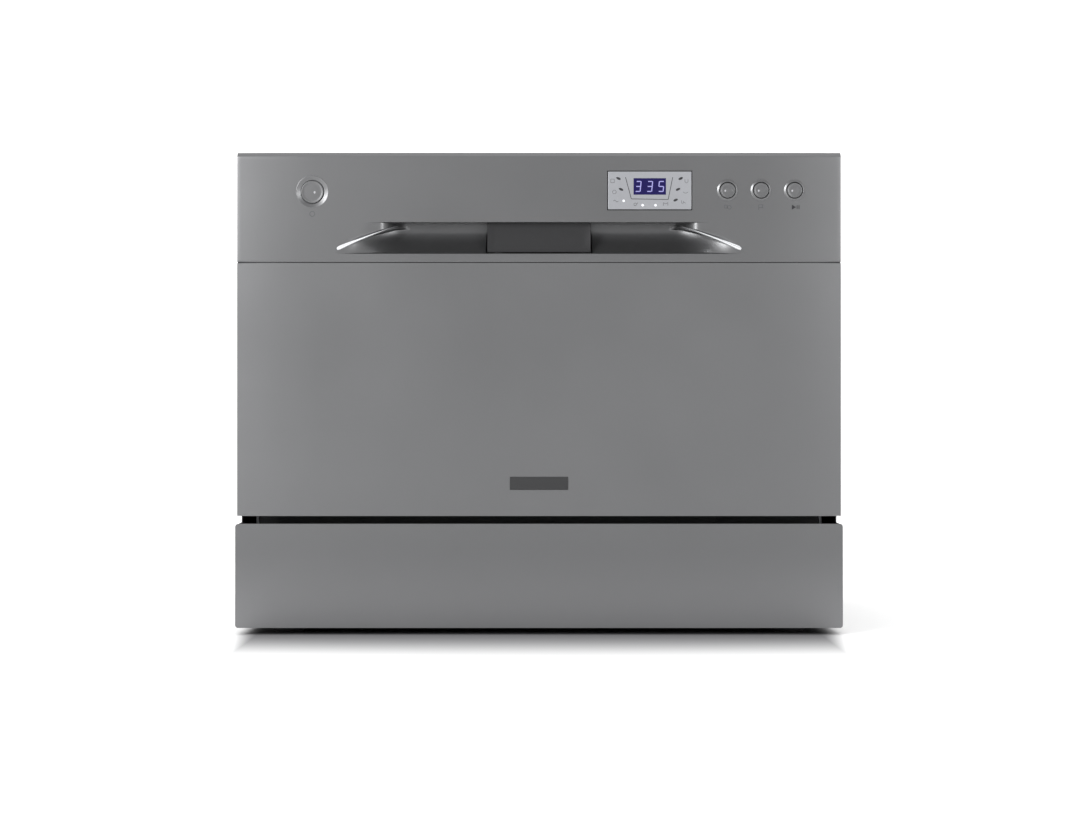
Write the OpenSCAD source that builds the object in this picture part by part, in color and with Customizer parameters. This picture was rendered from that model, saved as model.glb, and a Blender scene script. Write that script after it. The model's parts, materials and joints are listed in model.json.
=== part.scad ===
// Countertop dishwasher with a drop-down door and a roll-out rack.
// Origin: middle of the footprint, at the surface it stands on. The front faces -Y, +Z is up.

/* [Body] */
// Width over the cabinet
body_w = 550; // [530:1:600]
// Depth from the door trim to the ends of the rear fittings
body_d = 500; // [480:1:540]
// Height from the table to the cabinet top
body_h = 438; // [430:1:470]
// Thickness of the outer steel sheets
sheet_t = 0.8; // [0.6:0.1:1]
// Corner radius between the cabinet's sides and top
cabinet_r = 6; // [3:1:12]
// How far the rear fittings stand out of the rear panel
fitting_out = 10; // [6:1:12]
// Height of the plinth's lower edge above the table
plinth_low_z = 6.5; // [5:0.5:8]
// Corner radius of the plinth's front
plinth_r = 2.7; // [1.5:0.1:4]
// Radius of a foot
foot_r = 15; // [12:1:18]
// Distance from the cabinet's side to a foot's middle
foot_inset = 45; // [35:1:60]
// Height of the base tray's wall
tray_h = 62; // [50:1:66]
// Height of the base tray's rear wall
tray_back_h = 30; // [20:1:34]
// Wall of the base tray
tray_t = 3; // [2:0.5:4]

/* [Door] */
// Thickness of the door
door_t = 45; // [43:1:50]
// Height of the door's lower edge
door_low_z = 107.8; // [104:0.1:112]
// Gap between the door's lower edge and the plinth
plinth_gap = 7; // [6.6:0.1:10]
// How much narrower the door is than the cabinet, each side
door_side_gap = 1.5; // [1.3:0.1:2]
// How far the door's top lies under the cabinet's top
door_top_drop = 1; // [0.5:0.1:2]
// Gap between the door's inner face and the cabinet's front edge
door_gap = 2; // [1.5:0.1:3]
// Height of the control panel
panel_h = 99.4; // [95:0.1:104]
// Gap between the control panel and the door sheet
seam = 0.8; // [0.5:0.1:1.2]
// Wall of the moulded control panel
panel_t = 2.5; // [2:0.1:3]
// Bevel along the control panel's upper front edge
panel_bevel = 3.5; // [2:0.1:5]
// Thickness of the door's inner sheet
inner_t = 1; // [0.8:0.1:1.2]
// Length of the badge plate
badge_w = 52.8; // [40:0.1:60]
// Height of the badge plate
badge_h = 11.8; // [9:0.1:14]
// Height of the badge plate's middle
badge_z = 137.4; // [130:0.1:150]
// Thickness of the badge plate
badge_t = 0.8; // [0.5:0.1:0.9]

/* [Hinge] */
// Distance from the hinge line to the door's inner face
pivot_in = 5; // [5:0.5:6]
// Gap between the plinth's top and the door when it lies open
lay_gap = 0.8; // [0.6:0.1:1.5]
// Radius of the hinge pins
pin_r = 5; // [4:0.5:5.5]
// Running clearance of pins and turned parts
fit = 0.06; // [0.04:0.01:0.08]
// Thickness of the hinge brackets
bracket_t = 3; // [2.5:0.5:3.5]
// Distance from the cabinet's side to a bracket's inner face
bracket_x = 13; // [12:0.5:14.5]
// Thickness of the hinge arms
arm_plate_t = 3; // [2.5:0.5:3.5]
// Length of a spring's coil
spring_l = 70; // [50:1:76]
// Radius of a spring's coil
spring_r = 6; // [5:0.5:6]

/* [Handle] */
// Height of the recess's upper edge under the control panel's top
grip_drop = 63.4; // [58:0.1:66]
// Height of the recess
grip_h = 28.2; // [24:0.1:31]
// Half width of the recess along its lower edge
grip_half = 184; // [150:1:190]
// Half width of the recess along its upper edge
grip_top_half = 131; // [110:1:140]
// Depth of the recess
grip_depth = 28; // [24:1:30]
// Half width of the latch paddle
paddle_half = 47; // [40:1:60]
// Thickness of the latch paddle
paddle_t = 3; // [2.5:0.1:3.5]
// Largest thickness of a trim blade
blade_w = 5; // [3:0.1:6]

/* [Buttons and display] */
// Distance from the door's side to the power button's middle
power_x = 68.3; // [53.5:0.1:73.5]
// Radius of the power button
power_r = 10.2; // [8:0.1:12]
// Radius of the power button's surround
power_rim_r = 14.8; // [13.5:0.1:17]
// Distance from the door's side to the first small button's middle
button_x = 102.8; // [98.5:0.1:108.5]
// Distance between small buttons
button_pitch = 30.3; // [27:0.1:32]
// Radius of a small button
button_r = 6.9; // [5:0.1:7.4]
// Radius of a small button's surround
button_rim_r = 9.7; // [9.2:0.1:11]
// Height of the button row's middle under the control panel's top
button_drop = 34.4; // [30:0.1:38]
// Travel of a button
button_travel = 1.5; // [1:0.1:2]
// Gap between a button and its surround
button_gap = 0.3; // [0.2:0.05:0.4]
// Distance from the door's side to the display plate's middle
display_x = 173.3; // [169.5:0.1:178.5]
// Width of the display plate
display_w = 75.5; // [70:0.1:80]
// Height of the display plate
display_h = 34.3; // [30:0.1:38]
// Width of the display window
window_w = 29.4; // [24:0.1:34]
// Height of the display window
window_h = 15; // [12:0.1:18]
// Height of the window's middle above the display plate's middle
window_up = 3.6; // [0:0.1:5]
// Radius of an indicator
indicator_r = 1.5; // [1:0.1:2]

/* [Tub] */
// Gap between the cabinet's side and the tub
tub_side_gap = 36; // [35:1:44]
// Gap between the cabinet's top and the tub
tub_top_gap = 26; // [24:1:32]
// Gap between the rear panel and the tub
tub_back_gap = 60; // [55:1:70]
// Height of the tub's underside above the hinge line
tub_up = 8; // [7.5:0.5:10]
// Gap for the seal between the door's inner face and the tub
seal_gap = 6; // [5.5:0.5:7]
// Wall of the tub
tub_t = 1.2; // [1:0.1:1.5]
// Corner radius of the tub
tub_r = 12; // [9:1:13]
// Width of the flange round the tub's mouth
flange_w = 11; // [10:0.5:11.5]
// Height of the lip at the tub's mouth
lip_h = 10; // [8:0.5:12]
// Thickness of the insulation pad
pad_t = 5; // [3:0.5:6]

/* [Washing parts] */
// Length of the spray arm
arm_l = 340; // [280:1:350]
// Width of the spray arm
arm_w = 40; // [34:1:46]
// Thickness of the spray arm
arm_t = 12; // [8:0.5:13]
// Height of the spray arm above the tub's floor
arm_rise = 17.8; // [17:0.1:19]
// Radius of the post that the spray arm turns on
post_r = 11; // [9:0.5:12]
// Middle of the sump, sideways
sump_x = 95; // [93:1:98]
// Middle of the sump and pump, front to back
sump_y = 12.5; // [10:0.5:16]
// Radius of the sump
sump_r = 62; // [60:1:64]
// Depth of the sump under the tub
sump_h = 71; // [66:1:76]
// Radius of the filter cup
cup_r = 30; // [26:0.5:32]
// Depth of the filter cup
cup_h = 40; // [30:1:48]
// How far the heating loop lies outside the middle between filter and salt cap
heater_shift = -1.724; // [-6:0.001:3]
// Radius of the heating element's tube
heater_r = 4; // [3:0.5:4.5]
// Radius of the wash pump's housing
pump_r = 34; // [31:1:35]
// Width of the wash pump's housing
pump_w = 30; // [26:1:34]
// Length of the wash pump's motor
motor_l = 95; // [70:1:100]
// Radius of the float
float_r = 14; // [11:0.5:15]
// Travel of the float
float_travel = 10; // [6:1:12]
// Distance from the cabinet's side to the float's middle
float_x = 80; // [77:1:85]
// Front to back place of the float, from the tub's mouth
float_in = 48; // [40:1:56]
// Radius of the salt cap
salt_r = 24; // [20:1:26]
// Distance from the cabinet's side to the salt cap's middle
salt_x = 90; // [85:1:95]
// Front to back place of the salt cap
salt_y = 60; // [50:1:70]
// Outer radius of the water inlet's thread
inlet_r = 13.2; // [12:0.1:14]
// Outer radius of the drain spigot
drain_r = 9.5; // [8:0.1:11]
// Height of the rear fittings
fitting_z = 85; // [82:1:87]

/* [Rack] */
// Thickness of the rack's wires
wire = 3.2; // [2.8:0.1:3.6]
// Gap between the rack and the tub's side
rack_side_gap = 8.2; // [7.3:0.1:11.8]
// Gap between the closed door and the rack
rack_front_gap = 38; // [36:0.5:44]
// Gap between the rack and the tub's back
rack_back_gap = 30; // [20:1:50]
// Height of the rack's underside above the tub's floor
rack_rise = 43; // [42:0.5:48]
// Height of the rack
rack_h = 90; // [80:1:96]
// Number of gaps between the rack's long floor wires
rack_gaps = 18; // [12:1:20]
// Number of gaps between the rack's cross wires
rack_cross_gaps = 9; // [6:1:10]
// Number of tines in a row
tines = 9; // [5:1:10]
// Height of the tines
tine_h = 66; // [40:1:76]
// Radius of a rack wheel
wheel_r = 16; // [14:0.5:17]
// Width of a rack wheel
wheel_w = 9; // [7:0.5:9]
// Distance from the closed door to the front wheels' axle
wheel_in = 125; // [120:1:135]
// Distance between the front and rear axles
wheel_base = 160; // [120:1:165]
// Width of the cutlery basket
basket_w = 75; // [60:1:80]
// Length of the cutlery basket
basket_l = 150; // [120:1:160]
// Height of the cutlery basket
basket_h = 104; // [80:1:108]
// Width of the folding cup shelf
shelf_w = 88; // [70:1:95]
// Length of the folding cup shelf
shelf_l = 200; // [160:1:220]

/* [Dispenser] */
// Width of the dispenser
disp_w = 150; // [145:1:160]
// Height of the dispenser
disp_h = 95; // [85:1:100]
// Depth of the dispenser
disp_t = 26; // [22:1:30]
// Middle of the dispenser, sideways
disp_x = -30; // [-50:1:0]
// Height of the recess's lower edge above the dispenser's middle
disp_up = 80.8; // [74:0.1:86]
// Width of the detergent cup
dose_w = 52; // [44:1:56]
// Height of the detergent cup
dose_h = 27; // [22:1:29]
// Radius of the rinse-aid cap
cap_r = 15; // [12:0.5:17]

/* [Hidden] */
$fn = 64;

// General clearances
touch_gap = 0.3;
weld = 0.1;
trim_out = 1;
cut = 1;

// Outer faces
half_w = body_w / 2;
front_y = -body_d / 2;
rear_y = body_d / 2 - fitting_out;
plinth_top_z = door_low_z - plinth_gap;
tray_z = plinth_low_z + 1.5;

// Door
door_y = front_y + trim_out;
door_in_y = door_y + door_t;
door_half = half_w - door_side_gap;
door_top_z = body_h - door_top_drop;
panel_z = door_top_z - panel_h;
sheet_top_z = panel_z - seam;
inner_y = door_in_y - inner_t;
inner_half = door_half - panel_t - touch_gap;
inner_low_z = door_low_z + 4;
inner_top_z = door_top_z - panel_t - touch_gap;
cab_y = door_in_y + door_gap;

// Hinge
pivot_y = door_in_y - pivot_in;
pivot_up = door_t - pivot_in - plinth_gap + lay_gap;
swing_gap = 4;
pivot_z = door_low_z + pivot_up;
bracket_at = half_w - bracket_x;
notch_x = bracket_at - 12;
notch_w = 19;
notch_top_z = pivot_z + 10.5;
finger_r = 9;
arm_x = bracket_at - 5 - arm_plate_t;
spring_x = arm_x + arm_plate_t / 2;
spring_z = pivot_z - 16;
spring_y = pivot_y + pivot_up + swing_gap + 1;
bracket_y = pivot_y + pivot_up + swing_gap;
anchor_y = spring_y + spring_l + 13;
hook_r = 1.25;
arm_leg_w = 18;
arm_leg_h = 120;
catch_x = 130;
catch_w = 35;

// Tub
tub_half = half_w - tub_side_gap;
tub_top_z = body_h - tub_top_gap;
tub_z = pivot_z + tub_up;
floor_z = tub_z + tub_t;
tub_y = door_in_y + seal_gap;
tub_back_y = rear_y - tub_back_gap;
tub_in = tub_half - tub_t;
flange_half = tub_half + flange_w;
flange_top_z = tub_top_z + flange_w;
arm_y = (tub_y + tub_back_y) / 2;
rear_screw_z = [for (i = [0 : 3]) 130 + i * (body_h - 168) / 3];
side_screw_z = [for (i = [0 : 2]) 38 + i * (sheet_top_z - pivot_z - 79.2) / 2];
vent_y = 100;
vent_r = 8;
vent_z = tub_top_z - 110;

// Washing parts
arm_z = floor_z + arm_rise;
post_top_z = arm_z + arm_t + touch_gap;
nut_h = 7;
filter_t = 1;
filter_z = floor_z + filter_t;
float_at = half_w - float_x;
float_y = tub_y + float_in;
float_gap = 3;
bush_top_z = floor_z + float_gap;
pump_z = tub_z - 52;
pump_y = arm_y + 22;
motor_r = pump_r - 2;
water_pipe_r = 10;
drain_pump_y = sump_y + sump_r;
drain_bend = 20;
drain_head_r = 26;
drain_neck_l = 16;
drain_head_l = 27;
drain_motor_l = 45;
drain_motor_r = 20;
valve_w = 40;
drain_x = sump_x + drain_head_r + 34;
valve_x = drain_x + valve_w + 5;
hose_r = 7;
elbow_t = 0.7;
elbow_in = 1.5;
supply_z = tub_z - 12;
supply_y = rear_y - 23;
salt_at = half_w - salt_x;
heater_loop_r = (sump_x + cup_r + 5 + norm([salt_at, salt_y - arm_y]) - salt_r) / 2 + heater_shift;
heater_tail = 14;
heater_end_y = arm_y + sqrt(pow(heater_loop_r, 2) - pow(heater_tail, 2));
softener_x = -half_w + sheet_t + 8;
softener_w = -pump_w / 2 - motor_l - 30.2 - softener_x;
softener_y = -40;
softener_l = rear_y - 90 - softener_y;
neck_r = salt_r - 2;
air_w = 24;
air_x = half_w - sheet_t - 3 - air_w;

// Rack
rack_y = door_in_y + rack_front_gap;
rack_l = tub_back_y - rack_back_gap - rack_y;
rack_z = floor_z + rack_rise;
rack_top_z = rack_z + rack_h;
rack_half = tub_in - rack_side_gap;
rack_in = rack_half - wire;
axle_z = floor_z + touch_gap + wheel_r;
axle_y = door_in_y + wheel_in;
axle_r = 4;
wheel_x = rack_half - 4 - wheel_w - 1.6;
wheel_way = 4;
basket_x = rack_in - basket_w - 21.4;
basket_y = rack_y + 16;
basket_t = 1.6;
basket_cells = 4;
basket_z = rack_z + wire + touch_gap;
shelf_x = rack_in - 4.4;
shelf_z = rack_top_z - 6;
shelf_y = rack_y + 90;
shelf_r = 2;
clip_r = 4.2;

// Control panel
button_z = door_top_z - button_drop;
power_z = button_z - 1.4;
display_z = button_z - 0.2;
window_z = display_z + window_up;
grip_z = door_top_z - grip_drop;
grip_low_z = grip_z - grip_h;
board_y = door_y + 23;
board_t = 1.6;
stem_y = board_y - 3.4;
paddle_y = door_y + 8;
paddle_axis_z = grip_z + 3;
paddle_pin_r = 2;
latch_z = door_top_z - 10;
latch_t = 3;
cam_y = door_y + 27;
cam_z = grip_z + 18.4;
cam_pin_r = 2.5;
power_at = door_half - power_x;
display_at = door_half - display_x;
small_buttons = [for (i = [0 : 2]) door_half - button_x + i * button_pitch];
latch_half = 30;
board_low_x = latch_half + 6;

// Dispenser
disp_z = grip_low_z - disp_up;
dose_x = disp_x - disp_w / 4;
dose_z = disp_z - 10;
rinse_x = disp_x + disp_w / 4 - 2;
flap_top_z = dose_z + dose_h / 2 + 3;
flap_y = door_in_y + 2.6;
flap_t = 2;
flap_pin_r = 1.5;

// Colours
silver = [0.66, 0.67, 0.69];
steel = [0.75, 0.76, 0.78];
dark = [0.13, 0.13, 0.14];
black = [0.04, 0.04, 0.05];
grey = [0.42, 0.43, 0.45];
white_plastic = [0.86, 0.87, 0.88];
chrome = [0.9, 0.91, 0.93];

// A block from its lowest corner to its highest one
module block(low, high) {
    translate(low) cube(high - low);
}

// A rounded rectangle with true arcs
module rounded(w, h, r) {
    square([w - 2 * r, h], center = true);
    square([w, h - 2 * r], center = true);
    for (x = [-1, 1], y = [-1, 1])
        translate([x * (w / 2 - r), y * (h / 2 - r)]) circle(r);
}

// An outline drawn in X and Z, drawn out along Y
module along_y(y0, y1) {
    translate([0, y1, 0]) rotate([90, 0, 0]) linear_extrude(y1 - y0) children();
}

// An outline drawn in Y and Z, drawn out along X
module along_x(x0, x1) {
    translate([x0, 0, 0]) rotate([90, 0, 90]) linear_extrude(x1 - x0) children();
}

module rod_x(x0, x1, y, z, r) {
    translate([x0, y, z]) rotate([0, 90, 0]) cylinder(r = r, h = x1 - x0);
}

module rod_y(x, y0, y1, z, r) {
    translate([x, y0, z]) rotate([-90, 0, 0]) cylinder(r = r, h = y1 - y0);
}

module rod_z(x, y, z0, z1, r) {
    translate([x, y, z0]) cylinder(r = r, h = z1 - z0);
}

module both_sides() {
    children();
    mirror([1, 0, 0]) children();
}

// Cabinet

module base_tray() color(dark) {
    tray_half = half_w - sheet_t - 0.4;
    difference() {
        union() {
            difference() {
                block([-tray_half, door_y + sheet_t + touch_gap, tray_z],
                      [tray_half, rear_y - sheet_t - touch_gap, tray_z + tray_h]);
                block([-tray_half + tray_t, door_y + sheet_t + touch_gap + tray_t, tray_z + tray_t],
                      [tray_half - tray_t, rear_y - sheet_t - touch_gap - tray_t, tray_z + tray_h + cut]);
                block([-tray_half + tray_t, rear_y - 10, tray_z + tray_back_h],
                      [tray_half - tray_t, rear_y, tray_z + tray_h + cut]);
            }
            both_sides() for (y = [tub_y + 48, tub_back_y - 20])
                rod_z(tub_half - 14, y, tray_z + tray_t / 2, tub_z, 9);
            for (x = [-60, -30]) block([x, pump_y - 16, tray_z + tray_t / 2],
                                       [x + 8, pump_y + 16, pump_z - motor_r * 0.86]);
        }
        rod_x(-motor_l, 0, pump_y, pump_z, motor_r + touch_gap);
    }
}

module feet() color(black) for (x = [-1, 1], y = [door_y + 45, rear_y - 45])
    rod_z(x * (half_w - foot_inset), y, 0, tray_z, foot_r);

module cabinet_outline(inset) {
    low_z = tray_z + 6;
    difference() {
        translate([0, body_h / 2])
            rounded(body_w - 2 * inset, body_h - 2 * inset, cabinet_r - inset);
        translate([-half_w - cut, -cut]) square([body_w + 2 * cut, low_z + cut]);
    }
}

module cabinet_wrap() color(silver) {
    difference() {
        union() {
            along_y(cab_y, rear_y - sheet_t) difference() {
                cabinet_outline(0);
                translate([0, -cut]) cabinet_outline_inside();
            }
            along_y(cab_y, cab_y + sheet_t) difference() {
                front_flange_outline(0.1);
                front_flange_outline(22);
            }
            along_y(rear_y - 2 * sheet_t, rear_y - sheet_t) difference() {
                front_flange_outline(0.1);
                front_flange_outline(12);
            }
        }
        rear_screw_holes(0.1);
        block([-10, cab_y - cut, latch_z - 2], [10, cab_y + 2, latch_z + latch_t + 2]);
    }
}

module cabinet_outline_inside() {
    translate([0, body_h / 2]) rounded(body_w - 2 * sheet_t, body_h - 2 * sheet_t + 2 * cut,
                                       cabinet_r - sheet_t);
}

// The turned-in edge of the wrap stays above the door's swing
module front_flange_outline(inset) {
    low_z = tub_z + 2;
    side = half_w - inset;
    translate([-side, low_z - (inset > 1 ? cut : 0)])
        square([2 * side, body_h - min(inset, 12) - low_z + (inset > 1 ? cut : 0)]);
}

module rear_screw_holes(extra) {
    both_sides() for (z = rear_screw_z)
        rod_y(half_w - 8, rear_y - 12, rear_y + cut, z, 2 + extra);
}

module rear_panel() color(steel) difference() {
    block([-half_w + sheet_t + touch_gap, rear_y - sheet_t, tray_z],
          [half_w - sheet_t - touch_gap, rear_y, body_h - sheet_t - touch_gap]);
    rear_screw_holes(0.1);
    rod_y(valve_x, rear_y - 4, rear_y + cut, fitting_z, inlet_r + 1);
    rod_y(drain_x, rear_y - 4, rear_y + cut, fitting_z, drain_r + 1);
    rod_y(-valve_x, rear_y - 4, rear_y + cut, fitting_z - 20, 10.5);
}

module rear_screws() color(steel) both_sides() for (z = rear_screw_z) {
    rod_y(half_w - 8, rear_y, rear_y + 1.6, z, 4);
    rod_y(half_w - 8, rear_y - 8, rear_y + 0.5, z, 2);
}

module plinth() color(silver) {
    back_y = cab_y - touch_gap;
    height = plinth_top_z - plinth_low_z;
    difference() {
        along_y(door_y - 0.5, back_y) translate([0, plinth_low_z + height / 2])
            rounded(body_w, height, plinth_r);
        block([-half_w + 1, door_y + sheet_t, plinth_low_z + 1],
              [half_w - 1, back_y + cut, plinth_top_z + cut]);
        block([-half_w + 30, door_y + 20, plinth_low_z - cut],
              [half_w - 30, back_y + cut, plinth_low_z + 2]);
    }
}

module front_crossmember() color(black) {
    web_y = bracket_y + 1;
    end_x = notch_x - 4;
    block([-end_x, web_y, pivot_z - 46], [end_x, web_y + 1.2, tub_z]);
    block([-end_x, tub_y, tub_z - 1.2], [end_x, web_y + 1.2, tub_z]);
    both_sides() block([end_x - 1, web_y, pivot_z - 46],
                       [bracket_at - 0.1, web_y + 1.2, spring_z - spring_r - 2]);
    block([catch_x, web_y - 1, plinth_top_z - 12], [catch_x + catch_w, web_y, plinth_top_z + 8]);
}

// Tub

// The lip at the mouth leaves the rack wheels' way free
module tub_mouth() {
    low_z = floor_z + lip_h;
    translate([0, (low_z + tub_top_z - tub_t) / 2])
        rounded(2 * tub_in, tub_top_z - tub_t - low_z, tub_r - tub_t);
    both_sides() translate([wheel_x - wheel_way, floor_z])
        square([rack_half - wheel_x + wheel_way + 2, 2 * lip_h]);
}

module tub() color(steel) difference() {
    union() {
        difference() {
            along_y(tub_y, tub_back_y) translate([0, (tub_z + tub_top_z) / 2])
                rounded(2 * tub_half, tub_top_z - tub_z, tub_r);
            along_y(tub_y - cut, tub_back_y - tub_t) translate([0, (tub_z + tub_top_z) / 2])
                rounded(2 * tub_in, tub_top_z - tub_z - 2 * tub_t, tub_r - tub_t);
        }
        along_y(tub_y, tub_y + tub_t) difference() {
            translate([-flange_half, tub_z]) square([2 * flange_half, flange_top_z - tub_z]);
            tub_mouth();
        }
    }
    rod_z(sump_x, sump_y, tub_z - cut, floor_z + cut, sump_r - 8);
    rod_z(0, arm_y, tub_z - cut, floor_z + cut, 9);
    rod_z(-salt_at, salt_y, tub_z - cut, floor_z + cut, neck_r + 0.5);
    rod_z(float_at, float_y, tub_z - cut, floor_z + cut, 8.5);
    for (x = [-heater_tail, heater_tail]) rod_z(x, heater_end_y, tub_z - cut, floor_z + cut, heater_r + 0.5);
    rod_x(-tub_half - cut, -tub_in + cut, vent_y, vent_z, vent_r + 0.5);
}

module tub_seal() color(black) {
    side = flange_half - 1;
    along_y(door_in_y + touch_gap, tub_y) difference() {
        translate([-side, floor_z + 1]) square([2 * side, flange_top_z - 1 - floor_z - 1]);
        translate([-tub_half, floor_z]) square([2 * tub_half, tub_top_z - floor_z]);
    }
}

module tub_insulation() color(grey) difference() {
    along_y(tub_y + 10, tub_back_y - 6) difference() {
        translate([-tub_half - pad_t - touch_gap, tub_z])
            square([2 * (tub_half + pad_t + touch_gap), tub_top_z + pad_t + touch_gap - tub_z]);
        translate([-tub_half - touch_gap, tub_z - cut])
            square([2 * (tub_half + touch_gap), tub_top_z + touch_gap - tub_z + cut]);
    }
    rod_x(-tub_half - pad_t - 2, -tub_half + cut, vent_y, vent_z, vent_r + 1);
}

module latch_strike() color(steel) {
    block([-8, door_in_y - 8, latch_z], [8, tub_y + 10 + latch_t, latch_z + latch_t]);
    block([-8, tub_y + 10, latch_z], [8, tub_y + 10 + latch_t, body_h - sheet_t]);
    block([-20, tub_y + 6, body_h - sheet_t - 1.5], [20, tub_y + 34, body_h - sheet_t]);
}

// Sump, filters and pumps

module sump() color(grey) {
    low_z = tub_z - sump_h;
    difference() {
        union() {
            rod_z(sump_x, sump_y, low_z, tub_z, sump_r);
            rod_z(sump_x, sump_y, tub_z - 4, tub_z, sump_r + 6);
        }
        rod_z(sump_x, sump_y, low_z + 3, tub_z + cut, sump_r - 4);
        rod_x(pump_w / 2, sump_x, pump_y, pump_z, water_pipe_r);
        rod_y(sump_x, sump_y, drain_pump_y + cut, pump_z - 8, 8);
    }
}

module fine_filter() color(steel) difference() {
    rod_z(sump_x, sump_y, floor_z, filter_z, sump_r - 4);
    rod_z(sump_x, sump_y, floor_z - cut, filter_z + cut, cup_r + 1);
    for (ring = [0, 1], i = [0 : 35 + 6 * ring]) {
        turn = i * 360 / (36 + 6 * ring) + 4 * ring;
        translate([sump_x, sump_y, floor_z - cut]) rotate(turn)
            translate([cup_r + 8 + 8 * ring, 0]) cylinder(r = 1.5, h = filter_t + 2 * cut, $fn = 6);
    }
}

module coarse_filter() color(white_plastic) {
    z = filter_z + touch_gap;
    difference() {
        union() {
            rod_z(sump_x, sump_y, filter_z - cup_h, z + 1, cup_r);
            rod_z(sump_x, sump_y, z, z + 2.5, cup_r + 5);
            for (side = [-1, 1]) translate([sump_x + side * (cup_r + 1.5), sump_y, z])
                block([-1.5, -12, 0], [1.5, 12, 9]);
        }
        rod_z(sump_x, sump_y, filter_z - cup_h + 2, z + 3, cup_r - 2);
    }
}

module spray_arm_post() color(white_plastic) difference() {
    union() {
        rod_z(0, arm_y, tub_z, floor_z + 0.1, 8.8);
        rod_z(0, arm_y, floor_z, floor_z + 3, 20);
        rod_z(0, arm_y, floor_z, arm_z - touch_gap, post_r + 3);
        rod_z(0, arm_y, floor_z, post_top_z + nut_h, post_r);
        rod_z(0, arm_y, post_top_z, post_top_z + nut_h, post_r + 4);
    }
    rod_z(0, arm_y, tub_z - cut, arm_z, 7);
}

module spray_arm() color(white_plastic) difference() {
    union() {
        translate([0, arm_y, arm_z]) linear_extrude(arm_t)
            rounded(arm_l, arm_w, arm_w / 2 - 0.01);
        rod_z(0, arm_y, arm_z, arm_z + arm_t, arm_w / 2 + 6);
    }
    rod_z(0, arm_y, arm_z - cut, arm_z + arm_t + cut, post_r + fit);
    for (side = [-1, 1], i = [1 : 4])
        translate([side * (i * arm_l / 10 + 6), arm_y + (i % 2 == 0 ? 9 : -9), arm_z + arm_t - 3])
            block([-6, -1.5, 0], [6, 1.5, 3 + cut]);
}

module wash_pump() color(grey) difference() {
    union() {
        rod_x(-pump_w / 2, pump_w / 2, pump_y, pump_z, pump_r);
        rod_x(-pump_w / 2 - motor_l, -pump_w / 2, pump_y, pump_z, motor_r);
        rod_x(pump_w / 2 - 1, sump_x - sqrt(pow(sump_r, 2) - pow(pump_y - sump_y, 2)) - 0.6,
              pump_y, pump_z, water_pipe_r + 3);
        rod_z(0, arm_y, pump_z, tub_z, water_pipe_r + 1.5);
    }
    rod_x(-pump_w / 2 + 3, pump_w / 2 - 3, pump_y, pump_z, pump_r - 3);
    rod_x(0, sump_x, pump_y, pump_z, water_pipe_r);
    rod_z(0, arm_y, pump_z + 8, tub_z + cut, 8);
    rod_x(-pump_w / 2 - 12, 0, pump_y, pump_z, 3 + fit);
}

module wash_impeller() color(white_plastic) difference() {
    union() {
        rod_x(-pump_w / 2 + 6, -pump_w / 2 + 9, pump_y, pump_z, pump_r - 6);
        rod_x(-pump_w / 2 - 10, pump_w / 2 - 6, pump_y, pump_z, 3);
        rod_x(-pump_w / 2 + 6, pump_w / 2 - 8, pump_y, pump_z, 7);
        for (i = [0 : 5]) translate([0, pump_y, pump_z]) rotate([i * 60, 0, 0])
            block([-pump_w / 2 + 8, -1, 5], [pump_w / 2 - 7, 1, pump_r - 7]);
    }
}

module drain_pump() color(dark) {
    z = pump_z - 8;
    head_y = drain_pump_y + drain_neck_l - 1;
    motor_y = head_y + drain_head_l - 1;
    difference() {
        union() {
            rod_y(sump_x, drain_pump_y, head_y + 1, z, 11);
            rod_y(sump_x, head_y, motor_y + 1, z, drain_head_r);
            rod_y(sump_x, motor_y, motor_y + drain_motor_l, z, drain_motor_r);
            rod_x(sump_x, sump_x + drain_head_r + 8, drain_pump_y + 28, z, 9);
        }
        rod_y(sump_x, drain_pump_y - cut, drain_pump_y + 30, z, 8);
        rod_x(sump_x, sump_x + drain_head_r + 9, drain_pump_y + 28, z, 6);
    }
}

module heater() color(steel) {
    z = floor_z + 9;
    sweep = 2 * asin(heater_tail / heater_loop_r);
    translate([0, arm_y, z]) rotate(90 + sweep / 2)
        rotate_extrude(angle = 360 - sweep) translate([heater_loop_r, 0]) circle(heater_r, $fn = 32);
    for (x = [-heater_tail, heater_tail]) {
        rod_z(x, heater_end_y, tub_z - 12, z, heater_r);
        translate([x, heater_end_y, z]) sphere(heater_r + 0.4);
    }
    for (turn = [45, 135, 235, 315]) rotate_about_arm(turn)
        block([heater_loop_r - 3, -3, floor_z], [heater_loop_r + 3, 3, z - 1]);
}

module rotate_about_arm(turn) {
    translate([0, arm_y, 0]) rotate(turn) children();
}

module float_switch() color(dark) difference() {
    union() {
        rod_z(float_at, float_y, tub_z - 20, bush_top_z, 8.3);
        rod_z(float_at, float_y, floor_z, floor_z + 1.5, 11);
        block([float_at - 16, float_y - 12, tub_z - 34], [float_at + 16, float_y + 12, tub_z - 14]);
    }
    rod_z(float_at, float_y, tub_z - 31, bush_top_z + cut, 3.5 + fit);
}

module float() color(white_plastic) {
    z = bush_top_z + touch_gap;
    difference() {
        rod_z(float_at, float_y, z, z + 20, float_r);
        rod_z(float_at, float_y, z - cut, z + 16, float_r - 2);
    }
    rod_z(float_at, float_y, tub_z - 14 - float_travel, z + 17, 3.5);
}

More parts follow.
